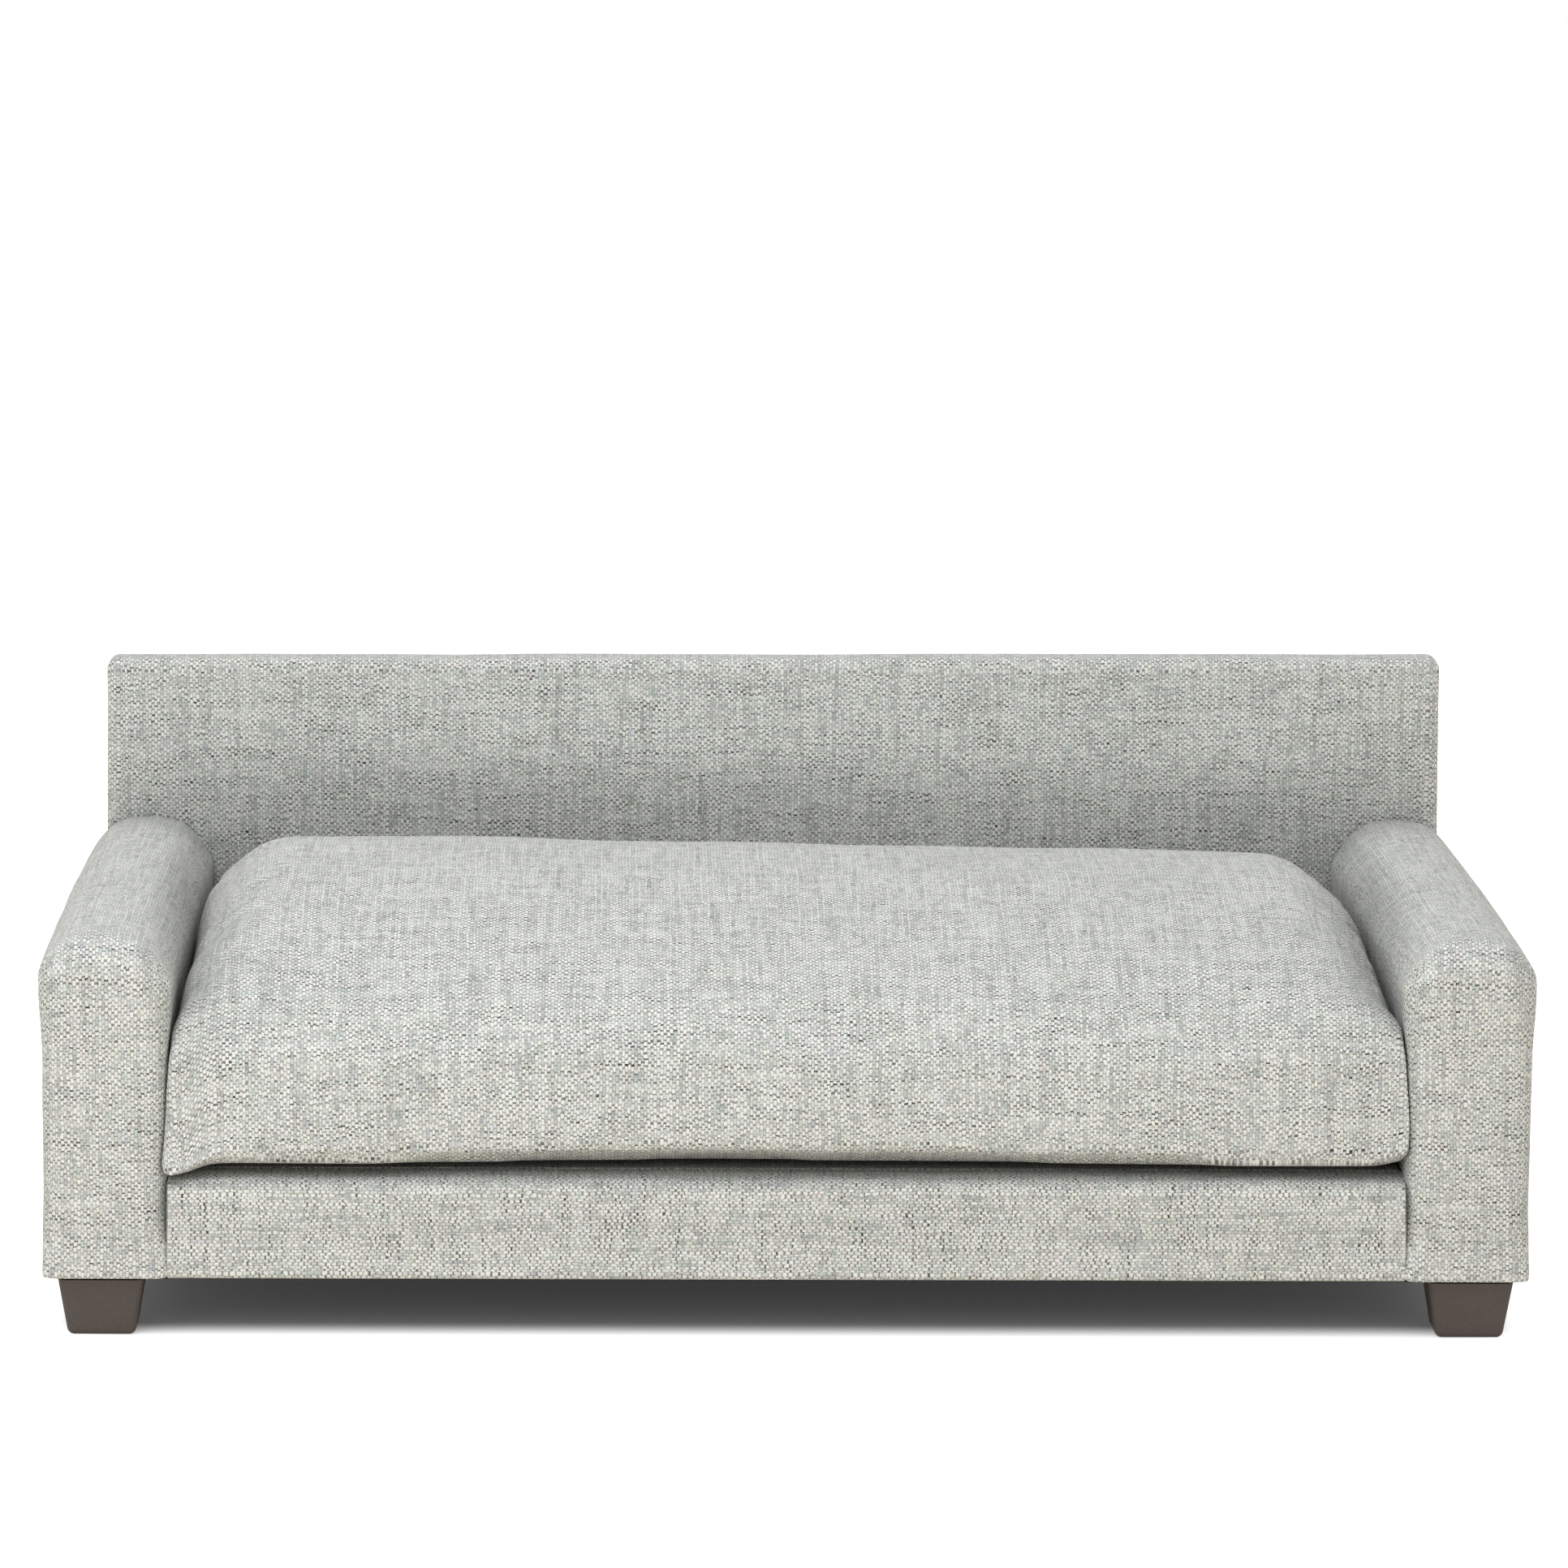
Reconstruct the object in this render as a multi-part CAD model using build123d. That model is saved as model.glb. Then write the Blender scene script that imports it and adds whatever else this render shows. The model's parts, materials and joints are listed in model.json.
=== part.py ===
from build123d import *
import os

# A small upholstered dog sofa: a back panel, two padded arms and a front rail stand round a deck,
# and a loose zipped cushion lies on the deck. All sizes are in millimetres.
# X runs from left to right, Y from front to back and Z up. The origin is on the floor, under the middle.

# The whole bed
WIDTH = 800.0
DEPTH = 500.0
HEIGHT = 304.0
FOOT_HEIGHT = 31.0
DECK_TOP = 89.0
FABRIC = 1.2

# Arms
ARM_WIDTH = 69.0
ARM_CROWN = 215.0
ARM_SPRING = 189.0
ARM_FRONT_ROUND = 10.0
ARM_FOAM = 8.0
ARM_CORE_TOP = 185.0
ARM_PANEL = 3.0
ARM_POST = 22.0
ARM_TOP_RAIL = 22.0
ARM_BOTTOM_RAIL = 26.0

# Back panel
BACK_WIDTH = 786.0
BACK_THICKNESS = 30.0
BACK_FOAM = 6.0
BACK_CORNER = 8.0
BACK_EDGE_ROUND = 6.0
BACK_BOARD_ROUND = 2.0

# Front rail
RAIL_SETBACK = 4.0
RAIL_FOAM = 4.0
RAIL_BOARD = 18.0
RAIL_TOP_ROUND = 6.0
RAIL_BOTTOM_ROUND = 3.0

# Base
SIDE_CLEARANCE = 0.5
SIDE_RAIL = 22.0
REAR_RAIL = 18.0
CENTRE_RAIL = 22.0
DECK_PLYWOOD = 9.0
DUST_CLOTH = 1.0
DUST_MARGIN = 6.0

# Feet
FOOT_TOP = 46.0
FOOT_SOLE = 36.0
FOOT_ROUND = 4.0
FOOT_WALL = 3.0
FOOT_FLOOR = 4.0
FOOT_RIB = 2.5
FOOT_BOSS_RADIUS = 10.0
FOOT_X = 368.0
FOOT_Y = {"front": -221.0, "rear": 195.0}

# Foot bolts, M8, moulded into the feet, and the tee nuts that take them
M8_RADIUS = 3.9
M8_HEAD_RADIUS = 7.5
M8_HEAD = 5.3
M8_HEAD_BASE = 8.0
M8_LENGTH = 42.0
TEE_BORE = 4.0
TEE_BARREL_RADIUS = 4.9
TEE_BARREL = 11.0
TEE_FLANGE_RADIUS = 9.4
TEE_FLANGE = 1.5

# M6 bolts that join the arms and the back to the base
M6_RADIUS = 2.95
M6_HEAD_RADIUS = 5.0
M6_HEAD = 5.5
M6_CLEARANCE = 3.3
WASHER_RADIUS = 8.0
WASHER = 1.5
ARM_BOLT_LENGTH = 55.0
ARM_BOLT_Z = 44.0
ARM_BOLT_Y = (-150.0, 110.0)
INSERT_RADIUS = 5.0
INSERT_LENGTH = 18.0
INSERT_BORE = 3.05
BACK_BOLT_LENGTH = 41.0
BACK_BOLT_Z = 55.0
BACK_BOLT_X = (-220.0, 220.0)
BACK_TEE_BARREL = 10.0
BACK_TEE_BARREL_RADIUS = 4.4
FIT = 0.1

# Corner brackets and screws
BRACKET_LEG = 30.0
BRACKET_STEEL = 2.0
BRACKET_BOTTOM = 45.0
BRACKET_HEIGHT = 20.0
BRACKET_SCREW_OUT = 19.0
SCREW_RADIUS = 1.9
SCREW_HEAD_RADIUS = 4.0
SCREW_HEAD = 2.2
SCREW_LENGTH = 14.0
DECK_SCREW_LENGTH = 28.0
DECK_SCREW_Y = (-180.0, 0.0, 160.0)

# Cushion, with its heights above the deck and how far the front, rear and sides are drawn in there
CUSHION_HALF_WIDTH = 329.0
CUSHION_FRONT = -240.0
CUSHION_REAR = 206.0
CUSHION_CORNER = 30.0
CUSHION_GAP = 0.2
CUSHION_TOP = 110.0
CUSHION_LEVELS = (
    (0.0, 60.0, 18.0, 22.0),
    (4.0, 28.0, 10.0, 13.0),
    (10.0, 9.0, 5.0, 6.0),
    (16.0, 3.0, 2.0, 2.5),
    (24.0, 0.0, 0.0, 0.0),
    (50.0, 0.0, 0.0, 0.0),
    (59.0, 3.0, 1.0, 1.5),
    (67.0, 10.0, 3.0, 5.0),
    (74.0, 24.0, 5.0, 9.0),
    (80.0, 48.0, 8.0, 16.0),
    (88.0, 100.0, 13.0, 34.0),
    (97.0, 175.0, 20.0, 70.0),
    (104.0, 250.0, 29.0, 125.0),
    (108.5, 310.0, 39.0, 180.0),
    (CUSHION_TOP, 340.0, 52.0, 225.0),
)
FRONT_DRAWN_IN = 6.0
SIDES_DRAWN_IN = 5.0
CROWN_SLACK = 0.9
BOW_FULLNESS = 0.75
CORNER_LIMIT = 0.45
COS_45 = 0.5**0.5
SEAM_HEIGHT = 10.0
SLAB_HALF_WIDTH = 285.0
SLAB_FRONT = -185.0
SLAB_REAR = 165.0
SLAB_BOTTOM = 20.0
SLAB_TOP = 62.0
SLAB_ROUND = 10.0

# Zip along the rear wall of the cushion
ZIP_HEIGHT = 37.0
ZIP_LENGTH = 450.0
TAPE_HEIGHT = 24.0
TAPE_GAP = 0.6
COIL_HEIGHT = 2.4
COIL_DEPTH = 1.8
COIL_MARGIN = 12.0
STOP_LENGTH = 3.0
STOP_HEIGHT = 6.4
SLIDER_X = -195.0
SLIDER_LENGTH = 11.0
SLIDER_NOSE = 7.4
SLIDER_TAIL = 9.4
SLIDER_WALL = 1.2
SLIDER_CLEARANCE = 0.4
BAIL_LENGTH = 7.0
BAIL_OPENING = 4.4
BAIL_WIDTH = 2.0
BAIL_RISE = 1.8
BAIL_BRIDGE = 1.0
PULL_LENGTH = 22.0
PULL_WIDTH = 6.0
PULL_THICKNESS = 1.2
PULL_EYE = 6.0
PULL_EYE_HEIGHT = 3.6
PULL_PIN_RADIUS = 0.6
PULL_ROUND = 2.5

# Planes and levels that follow from the sizes above
FRONT_Y = -DEPTH / 2
REAR_Y = DEPTH / 2
BACK_Y = REAR_Y - BACK_THICKNESS
BOARD_INSET = FABRIC + BACK_FOAM
BOARD_FRONT_Y = BACK_Y + BOARD_INSET
BOARD_REAR_Y = REAR_Y - BOARD_INSET
ARM_INNER_X = WIDTH / 2 - ARM_WIDTH
CORE_INSET = FABRIC + ARM_FOAM
CORE_INNER_X = ARM_INNER_X + CORE_INSET
CORE_OUTER_X = WIDTH / 2 - CORE_INSET
CORE_FRONT_Y = FRONT_Y + CORE_INSET
CORE_REAR_Y = BACK_Y - CORE_INSET
FRAME_BOTTOM = FOOT_HEIGHT + DUST_CLOTH
BOTTOM_RAIL_TOP = FRAME_BOTTOM + ARM_BOTTOM_RAIL
TOP_RAIL_BOTTOM = ARM_CORE_TOP - ARM_TOP_RAIL
BASE_HALF_WIDTH = ARM_INNER_X - SIDE_CLEARANCE
RAIL_FRONT_Y = FRONT_Y + RAIL_SETBACK
RAIL_BOARD_FRONT_Y = RAIL_FRONT_Y + FABRIC + RAIL_FOAM
RAIL_REAR_Y = RAIL_BOARD_FRONT_Y + RAIL_BOARD
DECK_UNDERSIDE = DECK_TOP - FABRIC - DECK_PLYWOOD
SIDE_RAIL_X = ARM_INNER_X - SIDE_RAIL
REAR_RAIL_Y = BACK_Y - REAR_RAIL
CUSHION_BASE = DECK_TOP + CUSHION_GAP
ZIP_Z = CUSHION_BASE + ZIP_HEIGHT
SLIDER_BACK_Y = CUSHION_REAR + SLIDER_CLEARANCE
SLIDER_CHANNEL_Y = CUSHION_REAR + COIL_DEPTH + SLIDER_CLEARANCE
SLIDER_FACE_Y = SLIDER_CHANNEL_Y + SLIDER_WALL
PULL_PIN_Y = SLIDER_FACE_Y + BAIL_RISE / 2
FAR = 1000.0


def block(x0, x1, y0, y1, z0, z1):
    """A box between two corners."""
    centre = Pos((x0 + x1) / 2, (y0 + y1) / 2, (z0 + z1) / 2)
    return centre * Box(x1 - x0, y1 - y0, z1 - z0)


def pin_x(x0, x1, y, z, radius):
    """A round bar along X."""
    return Pos((x0 + x1) / 2, y, z) * Rot(0, 90, 0) * Cylinder(radius, x1 - x0)


def pin_y(x, y0, y1, z, radius):
    """A round bar along Y."""
    return Pos(x, (y0 + y1) / 2, z) * Rot(90, 0, 0) * Cylinder(radius, y1 - y0)


def pin_z(x, y, z0, z1, radius):
    """A round bar along Z."""
    return Pos(x, y, (z0 + z1) / 2) * Cylinder(radius, z1 - z0)


def cut(shape, tools):
    """A solid with every tool taken out of it."""
    for tool in tools:
        shape = shape - tool
    return shape


def both_sides(shape):
    """A right-hand shape and its mirror image, by side."""
    return {"right": shape, "left": mirror(shape, about=Plane.YZ)}


# Arms, drawn on the right-hand side


def arm_form(inset, floor):
    """The padded arm: straight sides, an elliptical crown along its length and a rounded front."""
    left = ARM_INNER_X + inset
    right = WIDTH / 2 - inset
    middle = (left + right) / 2
    rise = ARM_CROWN - inset - ARM_SPRING
    crown = EllipticalCenterArc((middle, ARM_SPRING), right - middle, rise, arc_size=180)
    sides = Polyline((left, ARM_SPRING), (left, floor), (right, floor), (right, ARM_SPRING))
    rear = Plane(origin=(0, BACK_Y - inset, 0), x_dir=(1, 0, 0), z_dir=(0, -1, 0))
    solid = extrude(rear * make_face(crown + sides), BACK_Y - FRONT_Y - 2 * inset)
    front_edges = solid.edges().group_by(Axis.Y)[0].sort_by(Axis.Z)[1:]
    return fillet(front_edges, ARM_FRONT_ROUND - inset)


def arm_bolt_holes(radius, x0, x1):
    """Clear holes for the bolts that join the arm to the side rail."""
    return [pin_x(x0, x1, y, ARM_BOLT_Z, radius) for y in ARM_BOLT_Y]


def arm_cover():
    """Fabric sleeve of the arm, open underneath."""
    sleeve = arm_form(0, FRAME_BOTTOM) - arm_form(FABRIC, FOOT_HEIGHT)
    return cut(sleeve, arm_bolt_holes(M6_CLEARANCE, ARM_INNER_X - FABRIC, CORE_INNER_X))


def arm_foam():
    """Foam wrapped over the wooden arm frame, thick on top."""
    core = block(CORE_INNER_X, CORE_OUTER_X, CORE_FRONT_Y, CORE_REAR_Y, 0, ARM_CORE_TOP)
    foam = arm_form(FABRIC, FRAME_BOTTOM) - core
    return cut(foam, arm_bolt_holes(M6_CLEARANCE, ARM_INNER_X, CORE_OUTER_X - ARM_WIDTH / 2))


def arm_inner_panel():
    """Hardboard on the cushion side of the arm frame."""
    x1 = CORE_INNER_X + ARM_PANEL
    panel = block(CORE_INNER_X, x1, CORE_FRONT_Y, CORE_REAR_Y, FRAME_BOTTOM, ARM_CORE_TOP)
    return cut(panel, arm_bolt_holes(M6_CLEARANCE, ARM_INNER_X, CORE_OUTER_X))


def arm_outer_panel():
    """Hardboard on the outside of the arm frame."""
    x0 = CORE_OUTER_X - ARM_PANEL
    return block(x0, CORE_OUTER_X, CORE_FRONT_Y, CORE_REAR_Y, FRAME_BOTTOM, ARM_CORE_TOP)


def arm_member(y0, y1, z0, z1):
    """A pine member that fills the width between the two hardboard panels."""
    return block(CORE_INNER_X + ARM_PANEL, CORE_OUTER_X - ARM_PANEL, y0, y1, z0, z1)


def arm_bottom_rail():
    """Bottom rail, bored for the foot bolts' tee nuts and the arm bolts' inserts."""
    rail = arm_member(CORE_FRONT_Y, CORE_REAR_Y, FRAME_BOTTOM, BOTTOM_RAIL_TOP)
    bores = arm_bolt_holes(INSERT_RADIUS + FIT, ARM_INNER_X, CORE_INNER_X + ARM_PANEL + INSERT_LENGTH)
    bores += arm_bolt_holes(M6_CLEARANCE, ARM_INNER_X, SIDE_RAIL_X + ARM_BOLT_LENGTH)
    for y in FOOT_Y.values():
        bores.append(pin_z(FOOT_X, y, 0, BOTTOM_RAIL_TOP, TEE_BARREL_RADIUS + FIT))
        bores.append(pin_z(FOOT_X, y, BOTTOM_RAIL_TOP - TEE_FLANGE, BOTTOM_RAIL_TOP, TEE_FLANGE_RADIUS + FIT))
    return cut(rail, bores)


def arm_pieces():
    """Every piece of one arm, by name."""
    return {
        "arm_cover": arm_cover(),
        "arm_foam": arm_foam(),
        "arm_inner_panel": arm_inner_panel(),
        "arm_outer_panel": arm_outer_panel(),
        "arm_bottom_rail": arm_bottom_rail(),
        "arm_top_rail": arm_member(CORE_FRONT_Y, CORE_REAR_Y, TOP_RAIL_BOTTOM, ARM_CORE_TOP),
        "arm_front_post": arm_member(CORE_FRONT_Y, CORE_FRONT_Y + ARM_POST, BOTTOM_RAIL_TOP, TOP_RAIL_BOTTOM),
        "arm_rear_post": arm_member(CORE_REAR_Y - ARM_POST, CORE_REAR_Y, BOTTOM_RAIL_TOP, TOP_RAIL_BOTTOM),
    }


# Back panel


def back_form(inset, floor):
    """The padded back panel with rounded top corners and edges."""
    half = BACK_WIDTH / 2 - inset
    solid = block(-half, half, BACK_Y + inset, REAR_Y - inset, floor, HEIGHT - inset)
    corners = solid.edges().filter_by(Axis.Y).group_by(Axis.Z)[-1]
    solid = fillet(corners, BACK_CORNER - inset)
    faces_y = solid.edges().group_by(Axis.Y)
    rims = [edge for edge in faces_y[0] + faces_y[-1] if edge.center().Z > floor + FIT]
    return fillet(rims, BACK_EDGE_ROUND - inset)


def back_bolt_holes(radius, y0, y1):
    """Holes along Y for the bolts that join the back to the rear rail."""
    return [pin_y(x, y0, y1, BACK_BOLT_Z, radius) for x in BACK_BOLT_X]


def back_core(floor):
    """Outline of the plywood inside the back panel."""
    half = BACK_WIDTH / 2 - BOARD_INSET
    board = block(-half, half, BOARD_FRONT_Y, BOARD_REAR_Y, floor, HEIGHT - BOARD_INSET)
    return fillet(board.edges().filter_by(Axis.Y).group_by(Axis.Z)[-1], BACK_BOARD_ROUND)


def back_board():
    """Plywood board of the back, bored for its tee nuts."""
    bores = back_bolt_holes(BACK_TEE_BARREL_RADIUS + FIT, BOARD_FRONT_Y, BOARD_REAR_Y)
    return cut(back_core(FRAME_BOTTOM), bores)


def back_foam():
    """Foam wrapped over the back board, with room for the tee nuts' flanges."""
    foam = back_form(FABRIC, FRAME_BOTTOM) - back_core(0)
    bores = back_bolt_holes(M6_CLEARANCE, BACK_Y, BOARD_FRONT_Y)
    bores += back_bolt_holes(TEE_FLANGE_RADIUS + FIT, BOARD_REAR_Y, BOARD_REAR_Y + TEE_FLANGE + FIT)
    return cut(foam, bores)


def back_cover():
    """Fabric sleeve of the back panel, open underneath."""
    sleeve = back_form(0, FRAME_BOTTOM) - back_form(FABRIC, FOOT_HEIGHT)
    return cut(sleeve, back_bolt_holes(M6_CLEARANCE, REAR_RAIL_Y, BOARD_FRONT_Y))


# Front rail


def rail_section(inset):
    """Section of the front rail with rounded front edges, as a solid between the arms."""
    half = BASE_HALF_WIDTH
    bottom, top = FRAME_BOTTOM + inset, DECK_TOP - inset
    solid = block(-half, half, RAIL_FRONT_Y + inset, RAIL_REAR_Y, bottom, top)
    front_edges = solid.edges().filter_by(Axis.X).group_by(Axis.Y)[0].sort_by(Axis.Z)
    solid = fillet(front_edges[1], RAIL_TOP_ROUND - inset)
    bottom_edge = solid.edges().filter_by(Axis.X).group_by(Axis.Z)[0].sort_by(Axis.Y)[0]
    return fillet(bottom_edge, RAIL_BOTTOM_ROUND - inset)


def front_rail_cover():
    """Fabric wrapped under, up and over the front rail."""
    return rail_section(0) - rail_section(FABRIC)


def front_rail_board():
    """Pine board of the front rail."""
    top = DECK_TOP - FABRIC - RAIL_FOAM
    bottom = FRAME_BOTTOM + FABRIC
    return block(-BASE_HALF_WIDTH, BASE_HALF_WIDTH, RAIL_BOARD_FRONT_Y, RAIL_REAR_Y, bottom, top)


def front_rail_foam():
    """Foam on the front and top of the rail board."""
    return rail_section(FABRIC) - front_rail_board()


# Base


def side_rail():
    """Batten that is bolted to the arm and carries the edge of the deck."""
    rail = block(SIDE_RAIL_X, ARM_INNER_X, RAIL_REAR_Y, BACK_Y, FRAME_BOTTOM, DECK_UNDERSIDE)
    return cut(rail, arm_bolt_holes(M6_CLEARANCE, SIDE_RAIL_X, ARM_INNER_X))


def rear_rail():
    """Batten that is bolted to the back panel."""
    rail = block(-SIDE_RAIL_X, SIDE_RAIL_X, REAR_RAIL_Y, BACK_Y, FRAME_BOTTOM, DECK_UNDERSIDE)
    return cut(rail, back_bolt_holes(M6_CLEARANCE, REAR_RAIL_Y, BACK_Y))


def centre_rail():
    """Batten under the middle of the deck, from front to rear."""
    half = CENTRE_RAIL / 2
    return block(-half, half, RAIL_REAR_Y, REAR_RAIL_Y, FRAME_BOTTOM, DECK_UNDERSIDE)


def deck_screw_places():
    """Where the deck is screwed to the side and centre rails."""
    rail_x = ARM_INNER_X - SIDE_RAIL / 2
    return [(x, y) for x in (-rail_x, 0, rail_x) for y in DECK_SCREW_Y]


def deck_screw(x, y, gap):
    """A countersunk screw, or its hole where gap is more than nothing."""
    top = DECK_TOP - FABRIC
    shank = pin_z(x, y, top - DECK_SCREW_LENGTH - gap, top, SCREW_RADIUS + gap)
    rise = SCREW_HEAD_RADIUS - SCREW_RADIUS
    cone = Pos(x, y, top - rise / 2) * Cone(SCREW_RADIUS + gap, SCREW_HEAD_RADIUS + gap, rise)
    return shank + cone


def deck_screw_holes():
    """The holes of all the deck screws."""
    return [deck_screw(x, y, FIT) for x, y in deck_screw_places()]


def deck_board():
    """Plywood deck under the cushion."""
    top = DECK_TOP - FABRIC
    deck = block(-BASE_HALF_WIDTH, BASE_HALF_WIDTH, RAIL_REAR_Y, BACK_Y, DECK_UNDERSIDE, top)
    return cut(deck, deck_screw_holes())


def deck_cover():
    """Fabric over the deck."""
    return block(-BASE_HALF_WIDTH, BASE_HALF_WIDTH, RAIL_REAR_Y, BACK_Y, DECK_TOP - FABRIC, DECK_TOP)


def dust_cover():
    """Thin black cloth that closes the whole underside, pierced by the foot bolts."""
    half = BACK_WIDTH / 2 - DUST_MARGIN
    cloth = block(-half, half, RAIL_FRONT_Y + DUST_MARGIN, REAR_Y - DUST_MARGIN, FOOT_HEIGHT, FRAME_BOTTOM)
    hole = pin_z(0, 0, FOOT_HEIGHT, FRAME_BOTTOM, TEE_BARREL_RADIUS)
    return cut(cloth, [place * hole for place in foot_places().values()])


# Feet and their bolts


def foot_taper(top_width, depth):
    """A square block that narrows downwards from the top of the foot."""
    inset = (FOOT_TOP - FOOT_SOLE) / 2 * depth / FOOT_HEIGHT
    far = top_width - inset
    taper = Wedge(top_width, depth, top_width, inset, inset, far, far)
    return Pos(0, 0, FOOT_HEIGHT - depth / 2) * Rot(-90, 0, 0) * taper


def foot_bolt(gap):
    """The bolt moulded into a foot, or its pocket where gap is more than nothing."""
    hexagon = Pos(0, 0, M8_HEAD_BASE) * RegularPolygon(M8_HEAD_RADIUS + gap, 6)
    neck = M8_HEAD_BASE + M8_HEAD
    return extrude(hexagon, M8_HEAD) + pin_z(0, 0, neck, neck + M8_LENGTH, M8_RADIUS + gap)


def foot():
    """Moulded foot: a hollow taper with a boss round the bolt and ribs out to its walls."""
    outside = foot_taper(FOOT_TOP, FOOT_HEIGHT)
    top_edges = outside.edges().group_by(Axis.Z)[-1]
    outside = fillet([edge for edge in outside.edges() if edge not in top_edges], FOOT_ROUND)
    hollow = foot_taper(FOOT_TOP - 2 * FOOT_WALL, FOOT_HEIGHT - FOOT_FLOOR)
    span = FOOT_TOP / 2
    ribs = block(-span, span, -FOOT_RIB / 2, FOOT_RIB / 2, 0, FOOT_HEIGHT)
    ribs += block(-FOOT_RIB / 2, FOOT_RIB / 2, -span, span, 0, FOOT_HEIGHT)
    ribs += pin_z(0, 0, 0, FOOT_HEIGHT, FOOT_BOSS_RADIUS)
    return outside - (hollow - ribs) - foot_bolt(FIT)


def tee_nut(top, bore, barrel_radius, barrel):
    """A tee nut with its flange uppermost at the height given."""
    solid = pin_z(0, 0, top - barrel, top, barrel_radius)
    solid += pin_z(0, 0, top - TEE_FLANGE, top, TEE_FLANGE_RADIUS)
    return solid - pin_z(0, 0, top - barrel, top, bore)


def foot_tee_nut():
    """The nut for a foot bolt, let into the top of an arm's bottom rail."""
    return tee_nut(BOTTOM_RAIL_TOP, TEE_BORE, TEE_BARREL_RADIUS, TEE_BARREL)


def foot_places():
    """The place of every foot, by its name."""
    sides = {"left": -FOOT_X, "right": FOOT_X}
    return {f"{end}_{side}": Pos(x, y, 0) for end, y in FOOT_Y.items() for side, x in sides.items()}


# Fasteners of the base


def arm_bolts():
    """Bolts from inside each side rail into the arm."""
    bolts = []
    face = SIDE_RAIL_X - WASHER
    for y in ARM_BOLT_Y:
        shank = pin_x(face, SIDE_RAIL_X + ARM_BOLT_LENGTH, y, ARM_BOLT_Z, M6_RADIUS)
        bolt = shank + pin_x(face - M6_HEAD, face, y, ARM_BOLT_Z, M6_HEAD_RADIUS)
        bolts += both_sides(bolt).values()
    return bolts


def arm_washers():
    """A washer under each arm bolt's head."""
    washers = []
    for y in ARM_BOLT_Y:
        disc = pin_x(SIDE_RAIL_X - WASHER, SIDE_RAIL_X, y, ARM_BOLT_Z, WASHER_RADIUS)
        washer = disc - pin_x(SIDE_RAIL_X - WASHER, SIDE_RAIL_X, y, ARM_BOLT_Z, M6_CLEARANCE)
        washers += both_sides(washer).values()
    return washers


def arm_inserts():
    """Threaded inserts in the arms' bottom rails."""
    inserts = []
    x0 = CORE_INNER_X + ARM_PANEL
    for y in ARM_BOLT_Y:
        sleeve = pin_x(x0, x0 + INSERT_LENGTH, y, ARM_BOLT_Z, INSERT_RADIUS)
        insert = sleeve - pin_x(x0, x0 + INSERT_LENGTH, y, ARM_BOLT_Z, INSERT_BORE)
        inserts += both_sides(insert).values()
    return inserts


def back_bolts():
    """Bolts from the rear rail into the back board."""
    face = REAR_RAIL_Y - WASHER
    bolts = []
    for x in BACK_BOLT_X:
        shank = pin_y(x, face, REAR_RAIL_Y + BACK_BOLT_LENGTH, BACK_BOLT_Z, M6_RADIUS)
        bolts.append(shank + pin_y(x, face - M6_HEAD, face, BACK_BOLT_Z, M6_HEAD_RADIUS))
    return bolts


def back_washers():
    """A washer under each back bolt's head."""
    washers = []
    for x in BACK_BOLT_X:
        disc = pin_y(x, REAR_RAIL_Y - WASHER, REAR_RAIL_Y, BACK_BOLT_Z, WASHER_RADIUS)
        washers.append(disc - pin_y(x, REAR_RAIL_Y - WASHER, REAR_RAIL_Y, BACK_BOLT_Z, M6_CLEARANCE))
    return washers


def back_tee_nuts():
    """Tee nuts pressed into the rear of the back board."""
    nut = tee_nut(0, INSERT_BORE, BACK_TEE_BARREL_RADIUS, BACK_TEE_BARREL + TEE_FLANGE)
    lying = Rot(-90, 0, 0) * nut
    return [Pos(x, BOARD_REAR_Y + TEE_FLANGE, BACK_BOLT_Z) * lying for x in BACK_BOLT_X]


def corner_places():
    """The four inside corners of the base, with the way each leg runs."""
    ends = ((RAIL_REAR_Y, 1), (REAR_RAIL_Y, -1))
    return [(side * SIDE_RAIL_X, y, -side, along) for side in (-1, 1) for y, along in ends]


def leg(start, way, length):
    """The low and high end of a leg that runs one way from its start."""
    return sorted((start, start + way * length))


def corner_brackets():
    """Steel angles in the inside corners of the base."""
    brackets = []
    z0, z1 = BRACKET_BOTTOM, BRACKET_BOTTOM + BRACKET_HEIGHT
    for x, y, in_x, in_y in corner_places():
        along_x = block(*leg(x, in_x, BRACKET_LEG), *leg(y, in_y, BRACKET_STEEL), z0, z1)
        along_y = block(*leg(x, in_x, BRACKET_STEEL), *leg(y, in_y, BRACKET_LEG), z0, z1)
        screws = [corner_screw(x, y, in_x, in_y, way, FIT) for way in "xy"]
        brackets.append(cut(along_x + along_y, screws))
    return brackets


def corner_screw(x, y, in_x, in_y, way, gap):
    """A pan-head screw through one leg of a bracket, or its hole where gap is more than nothing."""
    z = BRACKET_BOTTOM + BRACKET_HEIGHT / 2
    if way == "x":
        place = x + in_x * BRACKET_SCREW_OUT
        shank = leg(y + in_y * BRACKET_STEEL, -in_y, SCREW_LENGTH)
        head = leg(y + in_y * BRACKET_STEEL, in_y, SCREW_HEAD)
        return pin_y(place, *shank, z, SCREW_RADIUS + gap) + pin_y(place, *head, z, SCREW_HEAD_RADIUS)
    place = y + in_y * BRACKET_SCREW_OUT
    shank = leg(x + in_x * BRACKET_STEEL, -in_x, SCREW_LENGTH)
    head = leg(x + in_x * BRACKET_STEEL, in_x, SCREW_HEAD)
    return pin_x(*shank, place, z, SCREW_RADIUS + gap) + pin_x(*head, place, z, SCREW_HEAD_RADIUS)


def corner_screws(gap):
    """All the screws of the corner brackets."""
    return [corner_screw(*place, way, gap) for place in corner_places() for way in "xy"]


# Cushion


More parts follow.
